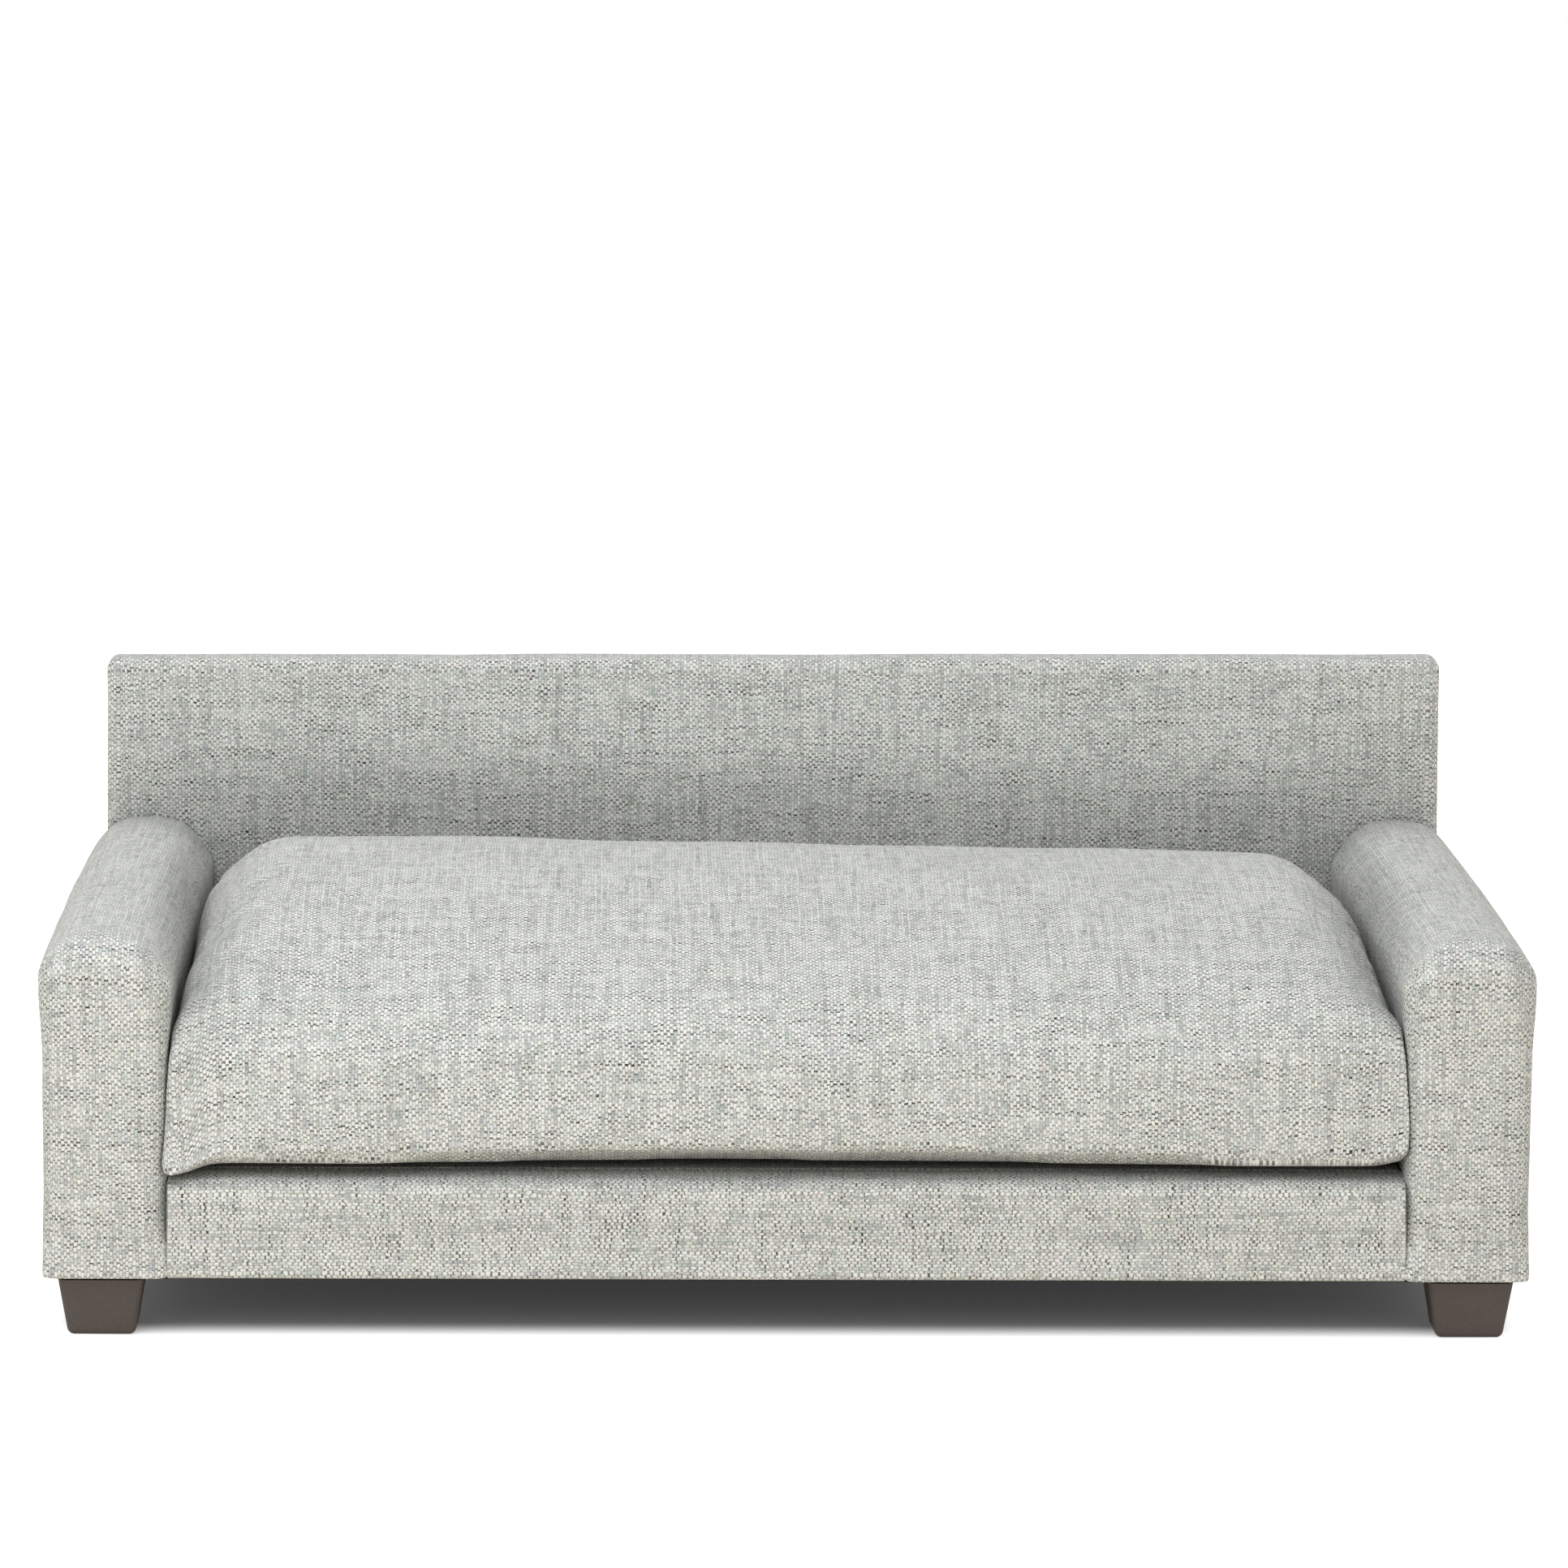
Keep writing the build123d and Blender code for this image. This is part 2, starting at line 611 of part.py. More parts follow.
def cushion_outline(height, front_in, rear_in, side_in, drawn):
    """Plan of the cushion at one height: round corners, a straight rear and sides drawn in between."""
    right = CUSHION_HALF_WIDTH - side_in
    front = CUSHION_FRONT + front_in
    rear = CUSHION_REAR - rear_in
    corner = min(CUSHION_CORNER, CORNER_LIMIT * (rear - front))
    cheek = corner * (1 - COS_45)
    middle = (front + rear) / 2
    bow = FRONT_DRAWN_IN * drawn
    waist = SIDES_DRAWN_IN * drawn
    half_front = right - corner
    right_half = [
        ThreePointArc((0, front + bow), (half_front / 2, front + BOW_FULLNESS * bow), (half_front, front)),
        ThreePointArc((half_front, front), (right - cheek, front + cheek), (right, front + corner)),
        ThreePointArc((right, front + corner), (right - waist, middle), (right, rear - corner)),
        ThreePointArc((right, rear - corner), (right - cheek, rear - cheek), (half_front, rear)),
    ]
    left_half = [mirror(edge, about=Plane.YZ) for edge in right_half]
    rear_edge = Line((half_front, rear), (-half_front, rear))
    return Pos(0, 0, height) * make_face(right_half + left_half + [rear_edge])


def cushion_form(inset):
    """The stuffed cushion: crowned towards the rear, full at the sides and lifted along its front edge."""
    sections = []
    for height, front_in, rear_in, side_in in CUSHION_LEVELS:
        share = height / CUSHION_TOP
        z = CUSHION_BASE + inset + height - 2 * inset * share
        drawn = 1 - CROWN_SLACK * share
        sections.append(cushion_outline(z, front_in + inset, rear_in + inset, side_in + inset, drawn))
    return loft(sections, ruled=True)


def zip_opening():
    """The space in the rear wall that the zip's tapes close."""
    half = ZIP_LENGTH / 2
    return block(-half, half, CUSHION_REAR / 2, FAR, ZIP_Z - TAPE_HEIGHT / 2, ZIP_Z + TAPE_HEIGHT / 2)


def cushion_pieces():
    """Panels, filling and zip of the cushion, by name."""
    outside = cushion_form(0)
    inside = cushion_form(FABRIC)
    shell = outside - inside
    seam = CUSHION_BASE + SEAM_HEIGHT
    upper = block(-FAR, FAR, -FAR, FAR, seam, FAR)
    slab = cushion_slab()
    tapes = (shell & zip_opening()) - block(-FAR, FAR, 0, FAR, ZIP_Z - TAPE_GAP / 2, ZIP_Z + TAPE_GAP / 2)
    return {
        "cushion_top_panel": (shell & upper) - zip_opening(),
        "cushion_bottom_panel": shell - upper,
        "cushion_fibre_wrap": inside - slab,
        "cushion_foam_slab": slab,
        "zip_tapes": Compound(tapes.solids()),
        "zip_coil": Compound([row - outside for row in zip_rows()]),
        "zip_end_stops": Compound([stop - outside for stop in zip_stops()]),
    }


def cushion_slab():
    """Foam slab in the heart of the cushion."""
    half = SLAB_HALF_WIDTH
    slab = block(-half, half, SLAB_FRONT, SLAB_REAR, CUSHION_BASE + SLAB_BOTTOM, CUSHION_BASE + SLAB_TOP)
    return fillet(slab.edges().filter_by(Axis.Z), SLAB_ROUND)


def zip_rows():
    """The two rows of the zip's coil, one on each tape."""
    half = ZIP_LENGTH / 2 - COIL_MARGIN
    rows = []
    for side in (-1, 1):
        z0, z1 = leg(ZIP_Z + side * TAPE_GAP / 2, side, COIL_HEIGHT)
        rows.append(block(-half, half, CUSHION_REAR - FABRIC, CUSHION_REAR + COIL_DEPTH, z0, z1))
    return rows


def zip_stops():
    """The stops that close each end of the coil."""
    stops = []
    for side in (-1, 1):
        x0, x1 = leg(side * (ZIP_LENGTH / 2 - COIL_MARGIN), side, STOP_LENGTH)
        z0, z1 = ZIP_Z - STOP_HEIGHT / 2, ZIP_Z + STOP_HEIGHT / 2
        stops.append(block(x0, x1, CUSHION_REAR - FABRIC, CUSHION_REAR + COIL_DEPTH, z0, z1))
    return stops


def zip_slider():
    """Slider that straddles the coil, with a bail on its face for the pull."""
    half = SLIDER_LENGTH / 2
    tail, nose = SLIDER_TAIL / 2, SLIDER_NOSE / 2
    plan = Polyline((-half, -tail), (half, -nose), (half, nose), (-half, tail), close=True)
    face = Plane(origin=(SLIDER_X, SLIDER_FACE_Y, ZIP_Z), x_dir=(1, 0, 0), z_dir=(0, -1, 0))
    body = extrude(face * make_face(plan), SLIDER_FACE_Y - SLIDER_BACK_Y)
    channel = TAPE_GAP / 2 + COIL_HEIGHT + SLIDER_CLEARANCE
    body -= block(-FAR, FAR, 0, SLIDER_CHANNEL_Y, ZIP_Z - channel, ZIP_Z + channel)
    z0, z1 = ZIP_Z - BAIL_WIDTH / 2, ZIP_Z + BAIL_WIDTH / 2
    top = SLIDER_FACE_Y + BAIL_RISE + BAIL_BRIDGE
    bail = block(SLIDER_X - BAIL_LENGTH / 2, SLIDER_X + BAIL_LENGTH / 2, SLIDER_FACE_Y, top, z0, z1)
    bail = fillet(bail.edges().filter_by(Axis.Z).group_by(Axis.Y)[-1], BAIL_BRIDGE)
    half_gap = BAIL_OPENING / 2
    bail -= block(SLIDER_X - half_gap, SLIDER_X + half_gap, SLIDER_FACE_Y, SLIDER_FACE_Y + BAIL_RISE, z0, z1)
    return body + bail


def zip_pull():
    """Pull tab with an eye whose end bar turns in the slider's bail."""
    half = PULL_WIDTH / 2
    y0, y1 = PULL_PIN_Y - PULL_THICKNESS / 2, PULL_PIN_Y + PULL_THICKNESS / 2
    tab = block(SLIDER_X, SLIDER_X + PULL_LENGTH, y0, y1, ZIP_Z - half, ZIP_Z + half)
    tab = fillet(tab.edges().filter_by(Axis.Y).group_by(Axis.X)[-1], PULL_ROUND)
    eye = PULL_EYE_HEIGHT / 2
    tab -= block(-FAR, SLIDER_X + PULL_EYE, 0, FAR, ZIP_Z - eye, ZIP_Z + eye)
    return tab + pin_z(SLIDER_X, PULL_PIN_Y, ZIP_Z - half, ZIP_Z + half, PULL_PIN_RADIUS)


def all_nodes():
    """Every piece of the bed, by node name."""
    nodes = {
        "back_board": back_board(),
        "back_foam": back_foam(),
        "back_cover": back_cover(),
        "front_rail_board": cut(front_rail_board(), corner_screws(FIT)),
        "front_rail_foam": front_rail_foam(),
        "front_rail_cover": front_rail_cover(),
        "rear_rail": cut(rear_rail(), corner_screws(FIT)),
        "centre_rail": cut(centre_rail(), deck_screw_holes()),
        "deck_board": deck_board(),
        "deck_cover": deck_cover(),
        "dust_cover": dust_cover(),
        "foot_bolts": Compound([place * foot_bolt(0) for place in foot_places().values()]),
        "foot_tee_nuts": Compound([place * foot_tee_nut() for place in foot_places().values()]),
        "arm_bolts": Compound(arm_bolts()),
        "arm_bolt_washers": Compound(arm_washers()),
        "arm_inserts": Compound(arm_inserts()),
        "back_bolts": Compound(back_bolts()),
        "back_bolt_washers": Compound(back_washers()),
        "back_tee_nuts": Compound(back_tee_nuts()),
        "corner_brackets": Compound(corner_brackets()),
        "corner_screws": Compound(corner_screws(0)),
        "deck_screws": Compound([deck_screw(x, y, 0) for x, y in deck_screw_places()]),
        "zip_slider": zip_slider(),
        "zip_pull": zip_pull(),
    }
    for name, shape in arm_pieces().items():
        for side, piece in both_sides(shape).items():
            nodes[f"{name}_{side}"] = piece
    for side, rail in both_sides(side_rail()).items():
        nodes[f"side_rail_{side}"] = cut(rail, corner_screws(FIT) + deck_screw_holes())
    for place, position in foot_places().items():
        nodes[f"foot_{place}"] = position * foot()
    nodes.update(cushion_pieces())
    return nodes


os.makedirs("parts", exist_ok=True)
for node_name, node_shape in all_nodes().items():
    export_step(node_shape, f"parts/{node_name}.step")
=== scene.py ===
"""Looks of a small upholstered dog sofa: its covers, cushion, zip, feet and studio stage."""

import json
import math
from functools import partial

import bpy
import numpy as np
from bpy.props import FloatProperty, FloatVectorProperty, IntProperty, PointerProperty
from mathutils import Matrix, Vector, noise


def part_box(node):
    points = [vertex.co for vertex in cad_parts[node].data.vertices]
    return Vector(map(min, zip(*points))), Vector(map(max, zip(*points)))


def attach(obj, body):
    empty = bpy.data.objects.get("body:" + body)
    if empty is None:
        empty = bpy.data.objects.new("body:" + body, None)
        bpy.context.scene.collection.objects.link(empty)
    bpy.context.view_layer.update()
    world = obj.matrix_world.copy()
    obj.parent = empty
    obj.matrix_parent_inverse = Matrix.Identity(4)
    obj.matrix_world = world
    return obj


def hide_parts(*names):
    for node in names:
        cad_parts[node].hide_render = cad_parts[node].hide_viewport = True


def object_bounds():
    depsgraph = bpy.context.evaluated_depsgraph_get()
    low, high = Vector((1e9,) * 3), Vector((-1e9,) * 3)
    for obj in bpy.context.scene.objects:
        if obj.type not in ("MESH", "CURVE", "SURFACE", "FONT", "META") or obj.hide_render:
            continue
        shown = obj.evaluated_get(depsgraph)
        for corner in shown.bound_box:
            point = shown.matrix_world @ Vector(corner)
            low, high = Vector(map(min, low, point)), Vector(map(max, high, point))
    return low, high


bl_info = {
    "name": "Upholstered dog sofa",
    "version": (1, 0, 0),
    "blender": (4, 5, 0),
    "location": "View3D > Sidebar > Dog sofa",
    "description": "Builds the soft covers, cushion, zip and stage of a small dog sofa round its frame",
    "category": "Object",
}

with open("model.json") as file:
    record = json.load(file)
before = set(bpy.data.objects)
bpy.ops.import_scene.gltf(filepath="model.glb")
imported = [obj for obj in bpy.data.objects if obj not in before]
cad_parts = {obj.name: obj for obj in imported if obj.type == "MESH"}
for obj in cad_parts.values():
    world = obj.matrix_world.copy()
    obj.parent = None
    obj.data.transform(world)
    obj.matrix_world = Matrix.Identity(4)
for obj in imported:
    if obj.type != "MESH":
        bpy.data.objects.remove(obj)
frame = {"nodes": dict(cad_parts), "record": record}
CAD_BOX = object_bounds()

MM = 0.001
SIDES = {"left": -1, "right": 1}
CLOTH_MAP = "cloth"
WEAVE = "plain_weave_upholstery"
ROWS = "row_of_small_shapes"

# Grid lines through each rounding of a soft box
TURNS = 5

# Points closer than the first are one, and nothing is divided by less than the second
SAME_PLACE = 0.01 * MM
TINY = 1e-12

# How far the noise moves along each axis from one seed to the next
SEED_STRIDES = (1.7, 2.3, 3.1)

# Heights over a cover's lower edge by which its ripples have set in and its hem's rounding has ended
CALM_HEM = 15 * MM
HEM_HEIGHT = 20 * MM

# Heights between which the painted fold shade sets in, as a floor's light fades from low cloth
PAINTED_SHADE_HEIGHTS = (50 * MM, 85 * MM)

# Node kinds that are used many times
MATH = "ShaderNodeMath"
VECTOR = "ShaderNodeVectorMath"
RANGE = "ShaderNodeMapRange"
MIX = "ShaderNodeMix"
NOISE = "ShaderNodeTexNoise"


def linear(colour):
    """Linear RGBA of an sRGB hex colour."""
    channels = [int(colour[i : i + 2], 16) / 255 for i in (0, 2, 4)]
    rgb = [c / 12.92 if c <= 0.04045 else ((c + 0.055) / 1.055) ** 2.4 for c in channels]
    return (*rgb, 1.0)


def number_setting(name, description, value, **limits):
    """A number that a user may change, within its limits or with its unit."""
    return FloatProperty(name=name, description=description, default=value, **limits)


def length_setting(name, description, millimetres):
    """A length that a user may change, given in millimetres."""
    return number_setting(name, description, millimetres * MM, unit="LENGTH", precision=5)


def colour_setting(name, description, colour):
    """A colour that a user may change, given as sRGB hex."""
    return FloatVectorProperty(
        name=name, description=description, default=linear(colour), size=4, subtype="COLOR", min=0, max=1
    )


def angle_setting(name, description, degrees):
    """An angle that a user may change, given in degrees."""
    return number_setting(name, description, math.radians(degrees), subtype="ANGLE")


def place_setting(name, description, place):
    """A place that a user may change, in metres."""
    return FloatVectorProperty(name=name, description=description, default=place, subtype="TRANSLATION")


# Settings


class WeaveSettings(bpy.types.PropertyGroup):
    """Thread spacing and colours of the upholstery weave, with painted highlight and shade on its threads
    and painted shade in its folds.
    """

    spacing: length_setting("Thread spacing", "From one thread to the next", 1.72)
    # The pale warp also paints the highlight on thread crests, and the grey warp the shade on their flanks
    warp_pale_and_highlight: colour_setting("Pale warp", "Crests of the cream threads", "FCFDF6")
    warp_grey_and_shade: colour_setting("Grey warp", "Flanks and dull stretches of the cream threads", "A8A9A4")
    weft_light: colour_setting("Light weft", "Pale stretches of the crossing threads", "CACBC5")
    weft_dark: colour_setting("Dark weft", "Dark slubs in the crossing threads", "3C3A34")
    # Painted shade in folds: the share of colour left where cloth lies close to cloth, and how far apart
    # they still darken each other
    painted_fold_shade: number_setting("Fold", "Share of light left in deep folds", 0.67, min=0, max=1)
    painted_shade_reach: length_setting("Fold reach", "How far apart cloth and cloth still shade each other", 80)


class ArmSettings(bpy.types.PropertyGroup):
    """Padding of the arms."""

    shoulder: length_setting("Shoulder", "Rise of an arm's crown over its rounded shoulders", 7)
    slope: length_setting("Slope", "How much lower the crown is at the rear than at the front", 7)
    inner_fall: length_setting("Inner fall", "How much lower the shoulder beside the cushion is", 8)
    swell: length_setting("Swell", "How far the padded top stands out over the sides", 1.8)
    top_round: length_setting("Top round", "Rounding of the long upper edges", 21)
    front_round: length_setting("Front round", "Rounding of the upright front edges", 15)
    brow_round: length_setting("Brow round", "Rounding from the front into the top", 20)
    under_round: length_setting("Lower round", "Rounding where the cover turns under the arm", 3)


class CushionSettings(bpy.types.PropertyGroup):
    """Filling of the loose cushion."""

    roll: length_setting("Front roll", "Depth of the rounding from the front into the top", 24)
    roll_height: length_setting("Roll height", "Height of the rounding from the front into the top", 30)
    side_round: length_setting("Side round", "Rounding of the upright corners from the side", 7)
    brow_round: length_setting("Brow round", "Rounding of the upper edges beside the arms", 10)
    corner_depth: length_setting("Corner depth", "Rounding of the upright corners from the front", 7)
    seam_round: length_setting("Seam round", "Rounding down to the seam along the lower edge", 7)
    crown: length_setting("Crown", "Rise of the top from its front roll to its crown", 51)
    crown_place: number_setting("Crown place", "Share of depth before the crown", 0.538, min=0.1, max=0.9)
    rear_fall: length_setting("Rear fall", "Fall of the top from its crown to the rear", 40)
    shoulder: length_setting("Shoulder", "Fall of the top towards the arms", 26)
    shoulder_width: length_setting("Shoulder width", "Width of the fall towards the arms", 55)
    lean: length_setting("Lean", "How much higher the left of the crown is than its middle", 5)
    most_swell: length_setting("Most swell", "Furthest that the filling pushes the cloth", 5)
    pressure: number_setting("Stuffing", "Pressure of the filling on the cloth", 4.0, min=0)


class StageSettings(bpy.types.PropertyGroup):
    """Camera and light."""

    lens: number_setting("Lens", "Focal length in millimetres on a 36 mm sensor", 184.28, min=1)
    pitch: angle_setting("Pitch", "How far the camera looks down", 8.591)
    yaw: angle_setting("Yaw", "How far the camera is turned to the right", 1.177)
    roll: angle_setting("Roll", "How far the camera leans", 0.399)
    place: place_setting("Place", "Where the camera stands", (-0.0902, -4.4634, 0.9390))
    sky: number_setting("Sky", "Even light from all round", 0.62, min=0)
    key: number_setting("Key", "Power of the softbox", 14.4, min=0)
    key_width: number_setting("Key width", "Width of the softbox", 1.2, min=0.1, unit="LENGTH")
    key_place: place_setting("Key place", "Where the softbox hangs", (-0.55, -1.2, 1.65))
    key_colour: colour_setting("Key colour", "Cool daylight of the softbox", "F4F8FF")


class SofaSettings(bpy.types.PropertyGroup):
    """All settings of the dog sofa."""

    weave: PointerProperty(type=WeaveSettings, name="Weave", description="Upholstery weave")
    arms: PointerProperty(type=ArmSettings, name="Arms", description="Arm padding")
    cushion: PointerProperty(type=CushionSettings, name="Cushion", description="Cushion filling")
    stage: PointerProperty(type=StageSettings, name="Stage", description="Camera and light")
    staple_gap: length_setting("Staple gap", "Distance between the staples of the dust cover", 38)
    coil_pitch: length_setting("Coil pitch", "Distance between the turns of the zip's coil", 1.5)
    stitch_pitch: length_setting("Stitch pitch", "Distance between the stitches along the zip", 3.4)
    seed: IntProperty(name="Seed", description="Start of the random variation", default=7)


# Materials


def add_node(tree, kind, inputs=None, **settings):
    """Adds a node with its settings, and sets each input named to a value or links it to another node."""
    node = tree.nodes.new(kind)
    for name, value in settings.items():
        setattr(node, name, value)
    for key, value in (inputs or {}).items():
        sockets = [socket for socket in node.inputs if socket.enabled]
        socket = sockets[key] if isinstance(key, int) else next(s for s in sockets if s.name == key)
        if isinstance(value, bpy.types.Node):
            value = next(s for s in value.outputs if s.enabled)
        if isinstance(value, bpy.types.NodeSocket):
            tree.links.new(value, socket)
        else:
            socket.default_value = value
    return node


def new_material(name, roughness, specular=0.5, metallic=0.0, sheen=0.0):
    """A new material, what adds a node to it, and its shader."""
    material = bpy.data.materials.new(name)
    material.use_nodes = True
    shader = material.node_tree.nodes["Principled BSDF"]
    shader.inputs["Roughness"].default_value = roughness
    shader.inputs["Specular IOR Level"].default_value = specular
    shader.inputs["Metallic"].default_value = metallic
    shader.inputs["Sheen Weight"].default_value = sheen
    return material, partial(add_node, material.node_tree), shader


def join_shader(material, shader, colour, bump):
    """Links a colour and a bump to a material's shader."""
    links = material.node_tree.links
    links.new(next(s for s in colour.outputs if s.enabled), shader.inputs["Base Color"])
    links.new(bump.outputs["Normal"], shader.inputs["Normal"])
    return material


def plain_weave(weave):
    """Plain weave of cream warp and grey weft with dark slubs: matt, coarse and heathered to the eye."""
    material, add, shader = new_material(WEAVE, roughness=0.92, specular=0.25, sheen=0.06)
    flat = add("ShaderNodeUVMap", uv_map=CLOTH_MAP)
    thread = add(VECTOR, {0: flat, 1: 1 / weave.spacing}, operation="SCALE")
    patch_size, relief = 11 * MM, 0.4 * MM

    # Threads wander over some centimetres and jostle over some millimetres, by a thread or so
    wanders = ((45 * MM, (1.5, 2.5, 0.0)), (5 * MM, (1.3, 1.4, 0.0)))
    laid = thread
    for reach, threads in wanders:
        wander = add(NOISE, {"Vector": flat, "Scale": 1 / reach, "Detail": 1.0}).outputs["Color"]
        wander = add(VECTOR, {0: wander, 1: (0.5, 0.5, 0.5)}, operation="SUBTRACT")
        laid = add(VECTOR, {0: wander, 1: threads, 2: laid}, operation="MULTIPLY_ADD")
    cell = add(VECTOR, {0: laid}, operation="FLOOR")
    place = add("ShaderNodeSeparateXYZ", {0: laid}).outputs
    number = add("ShaderNodeSeparateXYZ", {0: cell}).outputs

    def heather(step, reach, detail):
        """Tones along a thread: a step sets off each thread from the next, and a reach draws them out."""
        run = add(VECTOR, {0: laid, 1: reach}, operation="MULTIPLY")
        run = add(VECTOR, {0: cell, 1: step, 2: run}, operation="MULTIPLY_ADD")
        return add(NOISE, {"Vector": run, "Scale": 1.0, "Detail": detail})

    def total(start, *tones):
        """A start plus several tones, each times its weight."""
        for tone, weight in tones:
            start = add(MATH, {0: tone, 1: weight, 2: start}, operation="MULTIPLY_ADD")
        return start

    # Heathered yarn: each thread has its own run of tones, short and long
    warp_tone = heather((3.71, 0.0, 0.0), (0.0, 0.2, 0.0), 2.0)
    warp_run = heather((0.83, 0.0, 0.0), (0.0, 0.025, 0.0), 1.0)
    slack = heather((5.13, 0.0, 0.0), (0.0, 0.14, 0.0), 0.0)
    slub = heather((0.0, 3.71, 0.0), (0.22, 0.0, 0.0), 2.0)
    streak = heather((0.0, 0.37, 0.0), (0.03, 0.0, 0.0), 1.0)

    # Each warp thread shows as bricks two weft threads apart, set off by one from its neighbours
    side_power, end_power, crest_depth = 3.0, 5.0, 2.4
    offset = add(MATH, {0: number["X"], 1: 2.0}, operation="FLOORED_MODULO")
    offset = total(offset, (slack, 1.2))
    along = add(MATH, {0: place["Y"], 1: offset}, operation="ADD")
    along = add(MATH, {0: along, 1: 0.5}, operation="MULTIPLY")
    brick = add("ShaderNodeCombineXYZ", {0: number["X"], 1: add(MATH, {0: along}, operation="FLOOR")})
    spot = add("ShaderNodeTexWhiteNoise", {"Vector": brick}, noise_dimensions="2D").outputs
    off_centre = []
    for way in (place["X"], along):
        off = add(MATH, {0: way}, operation="FRACT")
        off = add(MATH, {0: off, 1: 2.0, 2: -1.0}, operation="MULTIPLY_ADD")
        off_centre.append(add(MATH, {0: off}, operation="ABSOLUTE"))
    side = add(MATH, {0: off_centre[0], 1: side_power}, operation="POWER")
    end = add(MATH, {0: off_centre[1], 1: end_power}, operation="POWER")
    crest = total(side, (end, 1.2))
    crest = add(RANGE, {0: crest, 1: 0.0, 2: crest_depth, 3: 1.0, 4: 0.0})

    # The weft shows as a dash of uneven width between the round ends of two bricks
    covered, open_gap = 0.78, 1.1
    light_slub, dark_slub = 0.66, 1.12
    gap = total(off_centre[1], (spot["Value"], 0.35), (side, 0.15))
    weft_shows = add(RANGE, {0: gap, 1: covered, 2: open_gap}, interpolation_type="SMOOTHSTEP")
    dark = total(slub, (streak, 0.7))
    dark = add(RANGE, {0: dark, 1: light_slub, 2: dark_slub})
    weft = add(MIX, {"Factor": dark, "A": weave.weft_light, "B": weave.weft_dark}, data_type="RGBA")

    # The warp is paler on its crests and greyer on its flanks, a painted highlight and shade of its round
    # threads; its own tone varies brick by brick, and pale and dull patches form
    dull, bright, stray_tint = 1.75, 3.05, 0.05
    fuzz = add(NOISE, {"Vector": thread, "Scale": 1.1, "Detail": 3.0})
    patch = add(NOISE, {"Vector": flat, "Scale": 1 / patch_size, "Detail": 3.0})
    pale = total(warp_tone, (spot["Value"], 0.8), (warp_run, 1.7))
    pale = add(MATH, {0: crest, 1: pale}, operation="MULTIPLY")
    pale = total(pale, (patch, 1.0), (fuzz, 1.2))
    pale = add(RANGE, {0: pale, 1: dull, 2: bright})
    warp = add(MIX, {"Factor": pale, "A": weave.warp_grey_and_shade, "B": weave.warp_pale_and_highlight}, data_type="RGBA")
    warp = add(MIX, {"Factor": stray_tint, "A": warp, "B": spot["Color"]}, data_type="RGBA")
    colour = add(MIX, {"Factor": weft_shows, "A": warp, "B": weft}, data_type="RGBA")

    # Round threads, the warp highest, with fuzz on them and a little shade in the creases between them
    crease, open_cloth, crease_shade = 0.35, 0.8, 0.85
    height = total(crest, (fuzz, 0.6))
    shade = add(RANGE, {0: height, 1: crease, 2: open_cloth, 3: crease_shade, 4: 1.0})
    colour = add(MIX, {"Factor": 1.0, "A": colour, "B": shade}, data_type="RGBA", blend_type="MULTIPLY")

    # Painted shade: cloth is darkened where it lies close to cloth, in folds, gaps and corners, but not low
    # beside a floor
    painted_occlusion = add("ShaderNodeAmbientOcclusion", {"Distance": weave.painted_shade_reach}, samples=4).outputs["AO"]
    at = add("ShaderNodeSeparateXYZ", {0: add("ShaderNodeTexCoord").outputs["Object"]}).outputs
    deep = 0.62
    full, gone = PAINTED_SHADE_HEIGHTS
    unshaded_near_floor = add(RANGE, {0: at["Z"], 1: full, 2: gone, 3: 1.0, 4: 0.0})
    painted_occlusion = add(MATH, {0: painted_occlusion, 1: unshaded_near_floor}, operation="MAXIMUM")
    painted_fold_shade = add(RANGE, {0: painted_occlusion, 1: deep, 2: 1.0, 3: weave.painted_fold_shade, 4: 1.0})
    colour = add(MIX, {"Factor": 1.0, "A": colour, "B": painted_fold_shade}, data_type="RGBA", blend_type="MULTIPLY")
    bump = add("ShaderNodeBump", {"Height": height, "Distance": relief, "Strength": 0.6})
    return join_shader(material, shader, colour, bump)


def upholstery(scene):
    """The one cloth of every cover, made when it is first asked for."""
    return bpy.data.materials.get(WEAVE) or plain_weave(scene.dog_sofa.weave)


def mottled(name, dark, light, grain, roughness, relief, stretch=(1, 1, 1), **surface):
    """A material of two tones that vary with a grain of the size given, drawn out along its stretch.

    It is made when it is first asked for.
    """
    if name in bpy.data.materials:
        return bpy.data.materials[name]
    material, add, shader = new_material(name, roughness, **surface)
    place = add("ShaderNodeTexCoord").outputs["Object"]
    place = add("ShaderNodeMapping", {"Vector": place, "Scale": stretch})
    grains = add(NOISE, {"Vector": place, "Scale": 1 / grain, "Detail": 4.0})
    dark_grain, light_grain = 0.3, 0.7
    tone = add(RANGE, {0: grains, 1: dark_grain, 2: light_grain})
    colour = add(MIX, {"Factor": tone, "A": linear(dark), "B": linear(light)}, data_type="RGBA")
    bump = add("ShaderNodeBump", {"Height": grains, "Distance": relief, "Strength": 0.5})
    return join_shader(material, shader, colour, bump)


def moulded_polypropylene():
    """Dark brown moulded polypropylene of the feet: a fine eroded grain with a soft satin."""
    return mottled("moulded_polypropylene", "564D49", "615854", 0.9 * MM, 0.5, 0.05 * MM, specular=0.4)


def spunbond_cloth():
    """Black spunbond polypropylene under the sofa: matt, with tangled fibres."""
    return mottled("spunbond_cloth", "0E0E0F", "232325", 1.6 * MM, 0.85, 0.15 * MM, specular=0.3)


def planed_pine():
    """Planed pine of the hidden frame: pale, with its grain drawn out along the rails."""
    return mottled("planed_pine", "B98F5C", "DDBD8E", 9 * MM, 0.7, 0.1 * MM, (0.12, 1, 1))


